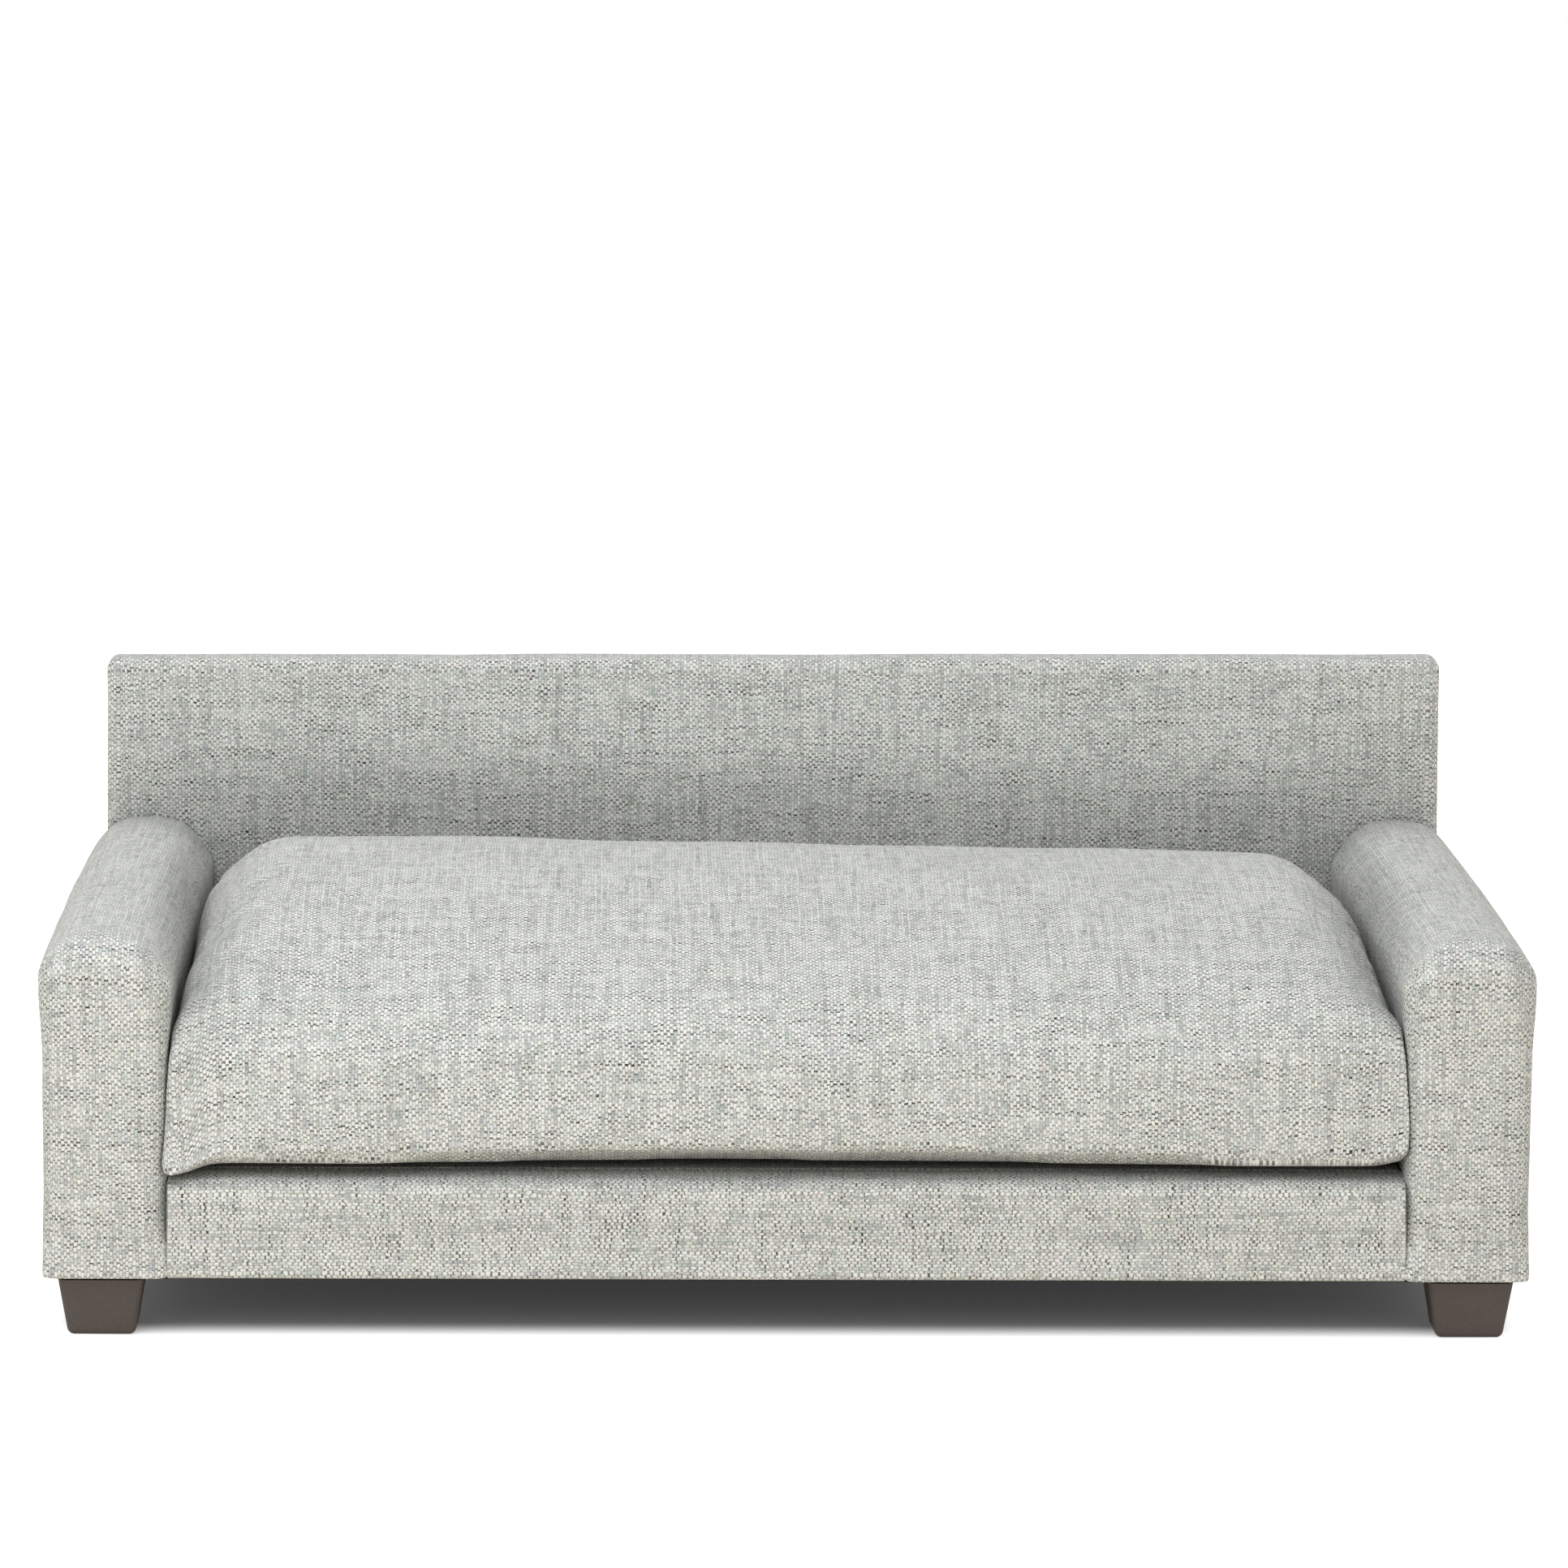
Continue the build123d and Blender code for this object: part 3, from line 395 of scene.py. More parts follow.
def birch_plywood():
    """Birch plywood of the deck and the back: pale, with a long soft figure."""
    return mottled("birch_plywood", "C6A273", "E0C79D", 14 * MM, 0.65, 0.08 * MM, (0.1, 1, 1))


def pressed_hardboard():
    """Brown hardboard of the arm panels: pressed fibre with a faint fleck."""
    return mottled("pressed_hardboard", "6B4A30", "83603F", 2.5 * MM, 0.6, 0.05 * MM)


def zinc_plated_steel():
    """Zinc-plated steel of the fasteners: bright, with a slightly cloudy plating."""
    return mottled("zinc_plated_steel", "A9ACAE", "C7CACB", 3 * MM, 0.32, 0.02 * MM, metallic=1.0)


def painted_zinc():
    """Grey painted zinc of the zip's slider and pull: smooth and a little glossy."""
    return mottled("painted_zinc", "8A8B86", "9A9B95", 2 * MM, 0.35, 0.02 * MM)


def coil_nylon():
    """Grey nylon of the zip's coil: smooth and slightly shiny."""
    return mottled("coil_nylon", "A2A29B", "B4B4AC", 0.8 * MM, 0.4, 0.02 * MM)


def sewing_thread():
    """Grey polyester thread of the stitches: matt, with a faint twist."""
    return mottled("sewing_thread", "A9AAA3", "C2C3BC", 0.5 * MM, 0.8, 0.05 * MM)


def ribbed_tape():
    """Grey polyester tape of the zip: a slanting rib, drawn 0.8 mm wide so that it shows."""
    # The wave texture's own length at a scale of 1 comes second
    rib_width, wave_length = 0.8 * MM, 0.314
    material, add, shader = new_material("ribbed_polyester_tape", 0.85, specular=0.3)
    place = add("ShaderNodeTexCoord").outputs["Object"]
    place = add("ShaderNodeMapping", {"Vector": place, "Rotation": (0, math.radians(45), 0)})
    rib = add("ShaderNodeTexWave", {"Vector": place, "Scale": wave_length / rib_width, "Distortion": 1.0})
    rib = rib.outputs["Fac"]
    colour = add(MIX, {"Factor": rib, "A": linear("8C8D86"), "B": linear("A9AAA2")}, data_type="RGBA")
    bump = add("ShaderNodeBump", {"Height": rib, "Distance": 0.15 * MM, "Strength": 0.5})
    return join_shader(material, shader, colour, bump)


# Meshes


def smooth_step(value, low, high):
    """Nothing below low, one above high, and a smooth rise between."""
    share = np.clip((value - low) / (high - low), 0.0, 1.0)
    return share * share * (3 - 2 * share)


def ripples(points, size, seed):
    """Smooth noise from -1 to 1 with waves of the size given, in millimetres along each axis."""
    start = Vector([seed * stride for stride in SEED_STRIDES])
    return np.array([noise.noise(Vector(point) + start) for point in points / (np.array(size) * MM)])


def wavy(points, waves, seed):
    """The sum of several ripples, each given by its height and size in millimetres and its own seed."""
    return sum(height * ripples(points, size, seed + own) for height, size, own in waves)


def hump(value, middle, reach):
    """One at the middle, fading smoothly over the reach to both sides."""
    return np.exp(-(((value - middle) / reach) ** 2))


def grid_lines(low, high, low_round, high_round, spacing):
    """Grid lines across a rounded box: evenly turned through each rounding, evenly spaced between."""
    turn = np.tan(np.linspace(0, math.pi / 4, TURNS + 1))
    start, end = low + low_round, high - high_round
    flat = np.linspace(start, end, max(2, round((end - start) / spacing) + 1))
    return np.concatenate([start - low_round * turn[:0:-1], flat, end + high_round * turn[1:]])


# Each face of a box: the axis that it looks along, its low or high end, and the two axes of its grid
FACES = {
    "front": (1, 0, (0, 2)),
    "rear": (1, 1, (2, 0)),
    "left": (0, 0, (2, 1)),
    "right": (0, 1, (1, 2)),
    "base": (2, 0, (1, 0)),
    "top": (2, 1, (0, 1)),
}

# The faces that one long panel of cloth runs over
PANEL = ("front", "top", "rear")


def lengths(grid, axis):
    """The distance walked along one way of a grid of points, from its first row."""
    steps = np.linalg.norm(np.diff(grid, axis=axis), axis=-1)
    start = np.zeros_like(np.take(steps, [0], axis=axis))
    return np.concatenate([start, np.cumsum(steps, axis=axis)], axis=axis)


class SoftBox:
    """A rounded box in one grid of quads, which is shaped and then dressed in cloth."""

    def __init__(self, low, high, rounds, spacing, rear=None):
        """Its roundings along x, y and z are given with the heights they hold at, from the lowest up.

        rear is the rounding along y at the rear, where that differs from the front.
        """
        low, high = np.array(low, float), np.array(high, float)
        heights = [height for height, _ in rounds]
        radii = np.array([along for _, along in rounds])
        widest = radii.max(axis=0)
        rear = rear or widest[1]
        low_ends, high_ends = (*widest[:2], radii[0, 2]), (widest[0], rear, radii[-1, 2])
        lines = [grid_lines(low[i], high[i], low_ends[i], high_ends[i], spacing) for i in range(3)]
        points, corners, numbers, count = [], [], {}, 0
        for face, (axis, end, (first, second)) in FACES.items():
            grid = np.meshgrid(lines[first], lines[second], indexing="ij")
            at = np.empty(grid[0].shape + (3,))
            at[..., first], at[..., second] = grid
            at[..., axis] = (low, high)[end][axis]
            radius = np.stack([np.interp(at[..., 2], heights, radii[:, i]) for i in range(3)], axis=-1)
            behind = at[..., 1] > (low[1] + high[1]) / 2
            radius[..., 1] = np.where(behind, np.minimum(radius[..., 1], rear), radius[..., 1])
            core = np.clip(at, low + radius, high - radius)
            out = (at - core) / radius
            length = np.linalg.norm(out, axis=-1, keepdims=True)
            points.append((core + out * radius / np.maximum(length, TINY)).reshape(-1, 3))
            number = np.arange(grid[0].size).reshape(grid[0].shape) + count
            quad = [number[:-1, :-1], number[1:, :-1], number[1:, 1:], number[:-1, 1:]]
            corners.append(np.stack(quad, axis=-1).reshape(-1, 4))
            numbers[face] = number
            count += grid[0].size
        points, self.corners = np.concatenate(points), np.concatenate(corners)
        keys = np.round(points / SAME_PLACE).astype(np.int64)
        _, kept, same = np.unique(keys, axis=0, return_index=True, return_inverse=True)
        same = same.reshape(-1)
        self.points = points[kept]
        self.quads = same[self.corners]
        self.grids = {face: same[number] for face, number in numbers.items()}

    def normals(self):
        """The outward direction at every point."""
        corners = self.points[self.quads]
        facing = np.cross(corners[:, 2] - corners[:, 0], corners[:, 3] - corners[:, 1])
        normals = np.zeros_like(self.points)
        for i in range(4):
            np.add.at(normals, self.quads[:, i], facing)
        return normals / np.maximum(np.linalg.norm(normals, axis=1, keepdims=True), TINY)

    def puff(self, distance):
        """Moves every point outwards by its distance."""
        self.points += self.normals() * distance[:, None]

    def cloth(self, turned):
        """Where the cloth lies flat at each corner of each quad: one long panel, and plain end panels."""
        flats, start = {}, 0.0
        for face, (axis, _, _) in FACES.items():
            flats[face] = np.delete(self.points[self.grids[face]], axis, axis=-1)
        for face in PANEL:
            grid = self.points[self.grids[face]]
            grid = grid.transpose(1, 0, 2)[:, ::-1] if face == "rear" else grid
            over = lengths(grid, 1) + start
            start = over[:, -1:]
            beside = lengths(grid, 0)
            beside -= beside[len(beside) // 2]
            flat = np.stack([beside, over], axis=-1)
            flats[face] = flat[:, ::-1].transpose(1, 0, 2) if face == "rear" else flat
        flat = np.concatenate([flats[face].reshape(-1, 2) for face in FACES])
        return flat[self.corners][..., ::-1] if turned else flat[self.corners]

    def piece(self, name, material, turned=False):
        """The box as an object, in cloth whose warp runs along its panel, or across it if turned."""
        return mesh_piece(name, self.points, self.quads, material, self.cloth(turned))


def mesh_piece(name, points, faces, material, cloth=None):
    """A smooth mesh object at the origin, with a map of where its cloth lies flat if it has one."""
    mesh = bpy.data.meshes.new(name)
    mesh.from_pydata([tuple(point) for point in points], [], [tuple(int(i) for i in face) for face in faces])
    if cloth is not None:
        flat = mesh.uv_layers.new(name=CLOTH_MAP)
        flat.data.foreach_set("uv", np.asarray(cloth, np.float32).ravel())
    mesh.polygons.foreach_set("use_smooth", [True] * len(mesh.polygons))
    mesh.materials.append(material)
    mesh.update()
    return add_object(name, mesh)


def add_object(name, data):
    """A new object in the scene."""
    made = bpy.data.objects.new(name, data)
    bpy.context.scene.collection.objects.link(made)
    return made


def refine(piece):
    """One live subdivision, alike in the view and in the render."""
    finer = piece.modifiers.new("Finer", "SUBSURF")
    finer.levels = finer.render_levels = 1
    finer.uv_smooth = "NONE"


def thin_cloth(name, low, high, spacing, material, shape=None):
    """A thin sheet that fills a box, in one panel, with a shaping of its points if one is given."""
    edge_share = 0.4
    edge = (min(high - low) * edge_share,) * 3
    box = SoftBox(low, high, ((low.z, edge), (high.z, edge)), spacing)
    if shape:
        shape(box.points, low, high)
    return box.piece(name, material)


def seat(piece, slot, body, *nodes):
    """Hides the nodes that a piece stands for and hangs it on the body that carries it; the slot of its
    finish is not used.
    """
    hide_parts(*nodes)
    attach(piece, body)


def padded_piece(box, name, fill, body, *nodes, turned=False):
    """A soft box as a stuffed piece in the weave, which stands for the nodes given."""
    piece = box.piece(name, upholstery(bpy.context.scene), turned)
    refine(piece)
    seat(piece, "upholstery_weave", body, *nodes)


# Rows of small things


def row_tree():
    """Geometry Nodes that set one small shape at even steps along a path, with a little unevenness."""
    if ROWS in bpy.data.node_groups:
        return bpy.data.node_groups[ROWS]
    tree = bpy.data.node_groups.new(ROWS, "GeometryNodeTree")
    numbers = {"Pitch": "Float", "Size": "Vector", "Unevenness": "Float", "Seed": "Int"}
    for name, kind in {"Path": "Geometry", **numbers, "Material": "Material"}.items():
        tree.interface.new_socket(name, in_out="INPUT", socket_type="NodeSocket" + kind)
    tree.interface.new_socket("Row", in_out="OUTPUT", socket_type="NodeSocketGeometry")
    add = partial(add_node, tree)
    given = add("NodeGroupInput").outputs
    path = add("GeometryNodeMeshToCurve", {"Mesh": given["Path"]})
    steps = add("GeometryNodeCurveToPoints", {"Curve": path, "Length": given["Pitch"]}, mode="LENGTH")
    shape = add("GeometryNodeMeshUVSphere", {"Segments": 8, "Rings": 5, "Radius": 0.5})
    spread = {"Min": (-1, -1, -1), "Max": (1, 1, 1), "Seed": given["Seed"]}
    sway = add("FunctionNodeRandomValue", spread, data_type="FLOAT_VECTOR")
    sway = add(VECTOR, {0: sway, 1: given["Unevenness"]}, operation="SCALE")
    places = {"Points": steps.outputs["Points"], "Rotation": steps.outputs["Rotation"]}
    placed = add("GeometryNodeInstanceOnPoints", {**places, "Instance": shape, "Scale": given["Size"]})
    placed = add("GeometryNodeRotateInstances", {"Instances": placed, "Rotation": sway})
    real = add("GeometryNodeRealizeInstances", {"Geometry": placed})
    smooth = add("GeometryNodeSetShadeSmooth", {"Geometry": real})
    finished = add("GeometryNodeSetMaterial", {"Geometry": smooth, "Material": given["Material"]})
    add("NodeGroupOutput", {"Row": finished})
    return tree


def row_piece(name, paths, pitch, size, unevenness, seed, material):
    """One mesh of small shapes along paths, each a list of points."""
    points, edges = [], []
    for path in paths:
        edges += [(len(points) + i, len(points) + i + 1) for i in range(len(path) - 1)]
        points += path
    mesh = bpy.data.meshes.new(name + "_path")
    mesh.from_pydata(points, edges, [])
    guide = add_object(name + "_path", mesh)
    tree = row_tree()
    rows = guide.modifiers.new("Row", "NODES")
    rows.node_group = tree
    values = {"Pitch": pitch, "Size": size, "Unevenness": unevenness, "Seed": seed, "Material": material}
    for socket in tree.interface.items_tree:
        if socket.name in values:
            rows[socket.identifier] = values[socket.name]
    ready = guide.evaluated_get(bpy.context.evaluated_depsgraph_get())
    finished = bpy.data.meshes.new_from_object(ready)
    finished.name = name
    guide.modifiers.remove(rows)
    bpy.data.objects.remove(guide)
    if not finished.polygons:
        raise RuntimeError(f"{name} came out empty")
    return add_object(name, finished)


def ring(corners):
    """Straight paths from each corner to the next, and from the last to the first."""
    return list(zip(corners, corners[1:] + corners[:1]))


# Stage


class DOGSOFA_OT_stage(bpy.types.Operator):
    """Sets the camera, the soft studio light, the white background and the floor"""

    bl_idname = "dog_sofa.stage"
    bl_label = "Stage"

    sensor_width = 36.0
    farthest = 60.0
    aim_height = 0.15

    # The floor's colour to the eye and in the light that it sends back
    paint = "FAFAFA"
    bounce = "FCF5E9"

    # The patch of floor that keeps the shadow ends inside the sofa's box, and the floor glows away from it
    patch_inset = 45 * MM
    patch_fade = 60 * MM
    patch_glow, floor_glow = 0.03, 0.9
    floor_reach = 8.0

    def execute(self, context):
        scene = context.scene
        stage = scene.dog_sofa.stage
        camera = add_object("camera", bpy.data.cameras.new("camera"))
        camera.data.sensor_width = self.sensor_width
        camera.data.lens = stage.lens
        camera.data.clip_end = self.farthest
        aim = Matrix.Rotation(-stage.yaw, 4, "Z") @ Matrix.Rotation(math.pi / 2 - stage.pitch, 4, "X")
        lean = Matrix.Rotation(stage.roll, 4, "Z")
        camera.matrix_world = Matrix.Translation(stage.place) @ aim @ lean
        scene.camera = camera
        scene.view_settings.view_transform = "Standard"

        softbox = add_object("softbox", bpy.data.lights.new("softbox", "AREA"))
        softbox.data.energy = stage.key
        softbox.data.color = stage.key_colour[:3]
        softbox.data.size = stage.key_width
        softbox.location = stage.key_place
        towards = Vector((0, 0, self.aim_height)) - softbox.location
        softbox.rotation_euler = towards.to_track_quat("-Z", "Y").to_euler()
        self.sky(scene, stage.sky)
        self.floor()
        return {"FINISHED"}

    def sky(self, scene, strength):
        """Even light from all round, and a white that only the eye and reflections see."""
        world = bpy.data.worlds.new("studio")
        scene.world = world
        world.use_nodes = True
        add = partial(add_node, world.node_tree)
        path = add("ShaderNodeLightPath").outputs
        seen = add(MATH, {0: path["Is Camera Ray"], 1: path["Is Glossy Ray"]}, operation="MAXIMUM")
        seen = add(MATH, {0: seen, 1: path["Is Transmission Ray"]}, operation="MAXIMUM")
        level = add(RANGE, {0: seen, 3: strength, 4: 1.0})
        background = world.node_tree.nodes["Background"]
        background.inputs["Color"].default_value = linear("FFFFFF")
        world.node_tree.links.new(level.outputs[0], background.inputs["Strength"])

    def floor(self):
        """A pale floor that keeps the sofa's shadow under it and is white to the eye away from it."""
        material, add, shader = new_material("painted_floor", 0.9, specular=0.0)
        path = add("ShaderNodeLightPath").outputs
        tones = {"Factor": path["Is Camera Ray"], "A": linear(self.bounce), "B": linear(self.paint)}
        tone = add(MIX, tones, data_type="RGBA")
        material.node_tree.links.new(tone.outputs[2], shader.inputs["Base Color"])
        shader.inputs["Emission Color"].default_value = linear("FFFFFF")
        low, high = CAD_BOX
        middle = [(low[i] + high[i]) / 2 for i in range(2)]
        half = [(high[i] - low[i]) / 2 - self.patch_inset for i in range(2)]
        place = add("ShaderNodeTexCoord").outputs["Object"]
        place = add(VECTOR, {0: place, 1: (*middle, 0)}, operation="SUBTRACT")
        place = add(VECTOR, {0: place}, operation="ABSOLUTE")
        beyond = add(VECTOR, {0: place, 1: (*half, 0)}, operation="SUBTRACT")
        beyond = add(VECTOR, {0: beyond, 1: (0, 0, 0)}, operation="MAXIMUM")
        away = add(VECTOR, {0: beyond}, operation="LENGTH").outputs["Value"]
        lift = {0: away, 1: 0.0, 2: self.patch_fade, 3: self.patch_glow, 4: self.floor_glow}
        lift = add(RANGE, lift, interpolation_type="SMOOTHSTEP")
        glow = add(MATH, {0: path["Is Camera Ray"], 1: lift}, operation="MULTIPLY")
        material.node_tree.links.new(glow.outputs[0], shader.inputs["Emission Strength"])
        reach = self.floor_reach
        corners = [(-reach, -reach, 0), (reach, -reach, 0), (reach, reach, 0), (-reach, reach, 0)]
        mesh_piece("floor", corners, [(0, 1, 2, 3)], material)


# Upholstered frame


class DOGSOFA_OT_arms(bpy.types.Operator):
    """Builds the padded arms in their cloth"""

    bl_idname = "dog_sofa.arms"
    bl_label = "Arms"

    fill = 0.85
    spacing = 6 * MM
    rear_round = 3 * MM

    # Depth under the top from which the upper roundings grow
    brow_depth = 60 * MM

    # Heights between which the padding sets in, the share of its swell drawn in, and the crown's depth
    padding = (150 * MM, 188 * MM)
    drawn_in = 0.35
    crown_depth = 50 * MM

    # Waves of the cloth, and creases that fade out between two heights
    waves = ((0.7, (90, 90, 90), 0), (0.35, (30, 60, 30), 5))
    creases = ((1, (45, 45, 16), 9),)
    crease_heights = (40 * MM, 100 * MM)

    def execute(self, context):
        for side in SIDES:
            self.arm(side, context.scene)
        return {"FINISHED"}

    def arm(self, side, scene):
        """One arm: a padded top, crowned and fullest at the front, over sides pulled tight downwards."""
        arms, seed = scene.dog_sofa.arms, scene.dog_sofa.seed + SIDES[side]
        low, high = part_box(f"arm_cover_{side}")
        top = high.z - arms.shoulder
        upright = (arms.front_round, arms.front_round, arms.under_round)
        rounds = (
            (low.z, (arms.under_round,) * 3),
            (low.z + HEM_HEIGHT, upright),
            (top - self.brow_depth, upright),
            (top, (arms.top_round, arms.brow_round, arms.top_round)),
        )
        box = SoftBox(low, (high.x, high.y, top), rounds, self.spacing, rear=self.rear_round)
        x, y, z = box.points.T
        across = (2 * x - low.x - high.x) / (high.x - low.x)
        along = (y - low.y) / (high.y - low.y)
        outside, inside = np.maximum(across * SIDES[side], 0), np.maximum(-across * SIDES[side], 0)
        padded = smooth_step(z, *self.padding)
        x += across * arms.swell * (padded - self.drawn_in)
        x += SIDES[side] * arms.swell * outside * padded * np.sin(math.pi * along)
        crown = arms.shoulder * (1 - across**2) + arms.slope * (0.5 - along) - arms.inner_fall * inside**2
        z += crown * smooth_step(z, top - self.crown_depth, top)
        waves = wavy(box.points, self.waves, seed)
        waves += (1 - smooth_step(z, *self.crease_heights)) * wavy(box.points, self.creases, seed)
        box.puff(waves * MM * smooth_step(z, low.z, low.z + CALM_HEM))
        nodes = f"arm_cover_{side}", f"arm_foam_{side}"
        padded_piece(box, f"arm_upholstery_{side}", self.fill, "frame", *nodes)


class DOGSOFA_OT_back(bpy.types.Operator):
    """Builds the thin padded back in its cloth"""

    bl_idname = "dog_sofa.back"
    bl_label = "Back"

    fill = 0.9
    own_seed = 20
    spacing = 7 * MM

    # Roundings along x, y and z of the hem and of the rest
    hem_round = (3 * MM,) * 3
    edge_round = (7 * MM, 6 * MM, 7 * MM)

    # Rise of the top over its frame, none at the left and twice this at the right, and where it sets in
    top_rise = 1.5 * MM
    rise_start = 200 * MM
    waves = ((0.8, (140, 60, 90), 0), (0.3, (40, 30, 40), 1))

    def execute(self, context):
        seed = context.scene.dog_sofa.seed + self.own_seed
        low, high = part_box("back_cover")
        edge = self.edge_round
        rounds = ((low.z, self.hem_round), (low.z + HEM_HEIGHT, edge), (high.z, edge))
        box = SoftBox(low, high, rounds, self.spacing)
        x, _, z = box.points.T
        rise = self.top_rise + self.top_rise * x / high.x
        z += rise * smooth_step(z, self.rise_start, high.z)
        waves = wavy(box.points, self.waves, seed)
        box.puff(waves * MM * smooth_step(z, low.z, low.z + CALM_HEM))
        padded_piece(box, "back_upholstery", self.fill, "frame", "back_cover", "back_foam")
        return {"FINISHED"}


class DOGSOFA_OT_front_rail(bpy.types.Operator):
    """Builds the padded front rail and the covered deck behind it"""

    bl_idname = "dog_sofa.front_rail"
    bl_label = "Front rail and deck"

    fill = 0.9
    own_seed = 30
    spacing = 6 * MM
    deck_spacing = 14 * MM

    # Roundings along x, y and z of the lower edge and the brow, and along y at the rear
    edge_round = (1.5 * MM, 3 * MM, 3 * MM)
    brow_round = (1.5 * MM, 9 * MM, 9 * MM)
    rear_round = 1.5 * MM

    # How far the cloth is tucked in behind the arms
    tuck = 2.5 * MM

    # How far the brow droops, between which distances ahead of the middle, and from which height
    droop = 2 * MM
    droop_places = (226 * MM, 238 * MM)
    droop_start = 60 * MM

    # Waves of the cloth, and how tightly it is drawn in, in millimetres
    waves = ((0.5, (70, 40, 40), 0),)
    drawn_in = 0.3

    def execute(self, context):
        seed = context.scene.dog_sofa.seed + self.own_seed
        low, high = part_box("front_rail_cover")
        reach = Vector((self.tuck, 0, 0))
        edge = self.edge_round
        rounds = ((low.z, edge), (low.z + HEM_HEIGHT, edge), (high.z, self.brow_round))
        box = SoftBox(low - reach, high + reach, rounds, self.spacing, rear=self.rear_round)
        _, y, z = box.points.T
        brow = smooth_step(-y, *self.droop_places)
        z -= self.droop * brow * smooth_step(z, self.droop_start, high.z)
        waves = wavy(box.points, self.waves, seed) - self.drawn_in
        box.puff(waves * MM * smooth_step(z, low.z, low.z + CALM_HEM))
        nodes = "front_rail_cover", "front_rail_foam"
        padded_piece(box, "front_rail_upholstery", self.fill, "frame", *nodes, turned=True)

        low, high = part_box("deck_cover")
        deck = thin_cloth("deck_cloth", low, high, self.deck_spacing, upholstery(context.scene))
        seat(deck, "upholstery_weave", "frame", "deck_cover")
        return {"FINISHED"}


class DOGSOFA_OT_dust_cover(bpy.types.Operator):
    """Builds the black cloth stapled under the sofa"""

    bl_idname = "dog_sofa.dust_cover"
    bl_label = "Dust cover and staples"

    spacing = 12 * MM
    sag = 2.5 * MM

    # How far the staples are from the cloth's edge, their size, and how unevenly they are turned
    inset = 9 * MM
    staple = (0.9 * MM, 0.7 * MM, 11 * MM)
    sway = 0.12

    def execute(self, context):
        sofa = context.scene.dog_sofa
        low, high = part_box("dust_cover")
        cloth = thin_cloth("dust_cloth", low, high, self.spacing, spunbond_cloth(), self.hang)
        seat(cloth, "dust_cloth", "frame", "dust_cover")

        west, east = low.x + self.inset, high.x - self.inset
        south, north = low.y + self.inset, high.y - self.inset
        z = low.z
        paths = ring([(west, south, z), (east, south, z), (east, north, z), (west, north, z)])
        steel = zinc_plated_steel()
        staples = row_piece("staples", paths, sofa.staple_gap, self.staple, self.sway, sofa.seed, steel)
        seat(staples, "zinc_steel", "frame")
        return {"FINISHED"}

    def hang(self, points, low, high):
        """Lets the cloth hang a little between the rails, which hold it at its rim and in the middle."""
        x, y, z = points.T
        across = np.sin(math.pi * (x - low.x) / (high.x - low.x) * 2) ** 2
        along = np.sin(math.pi * (y - low.y) / (high.y - low.y))
        z -= self.sag * across * along


# Cushion


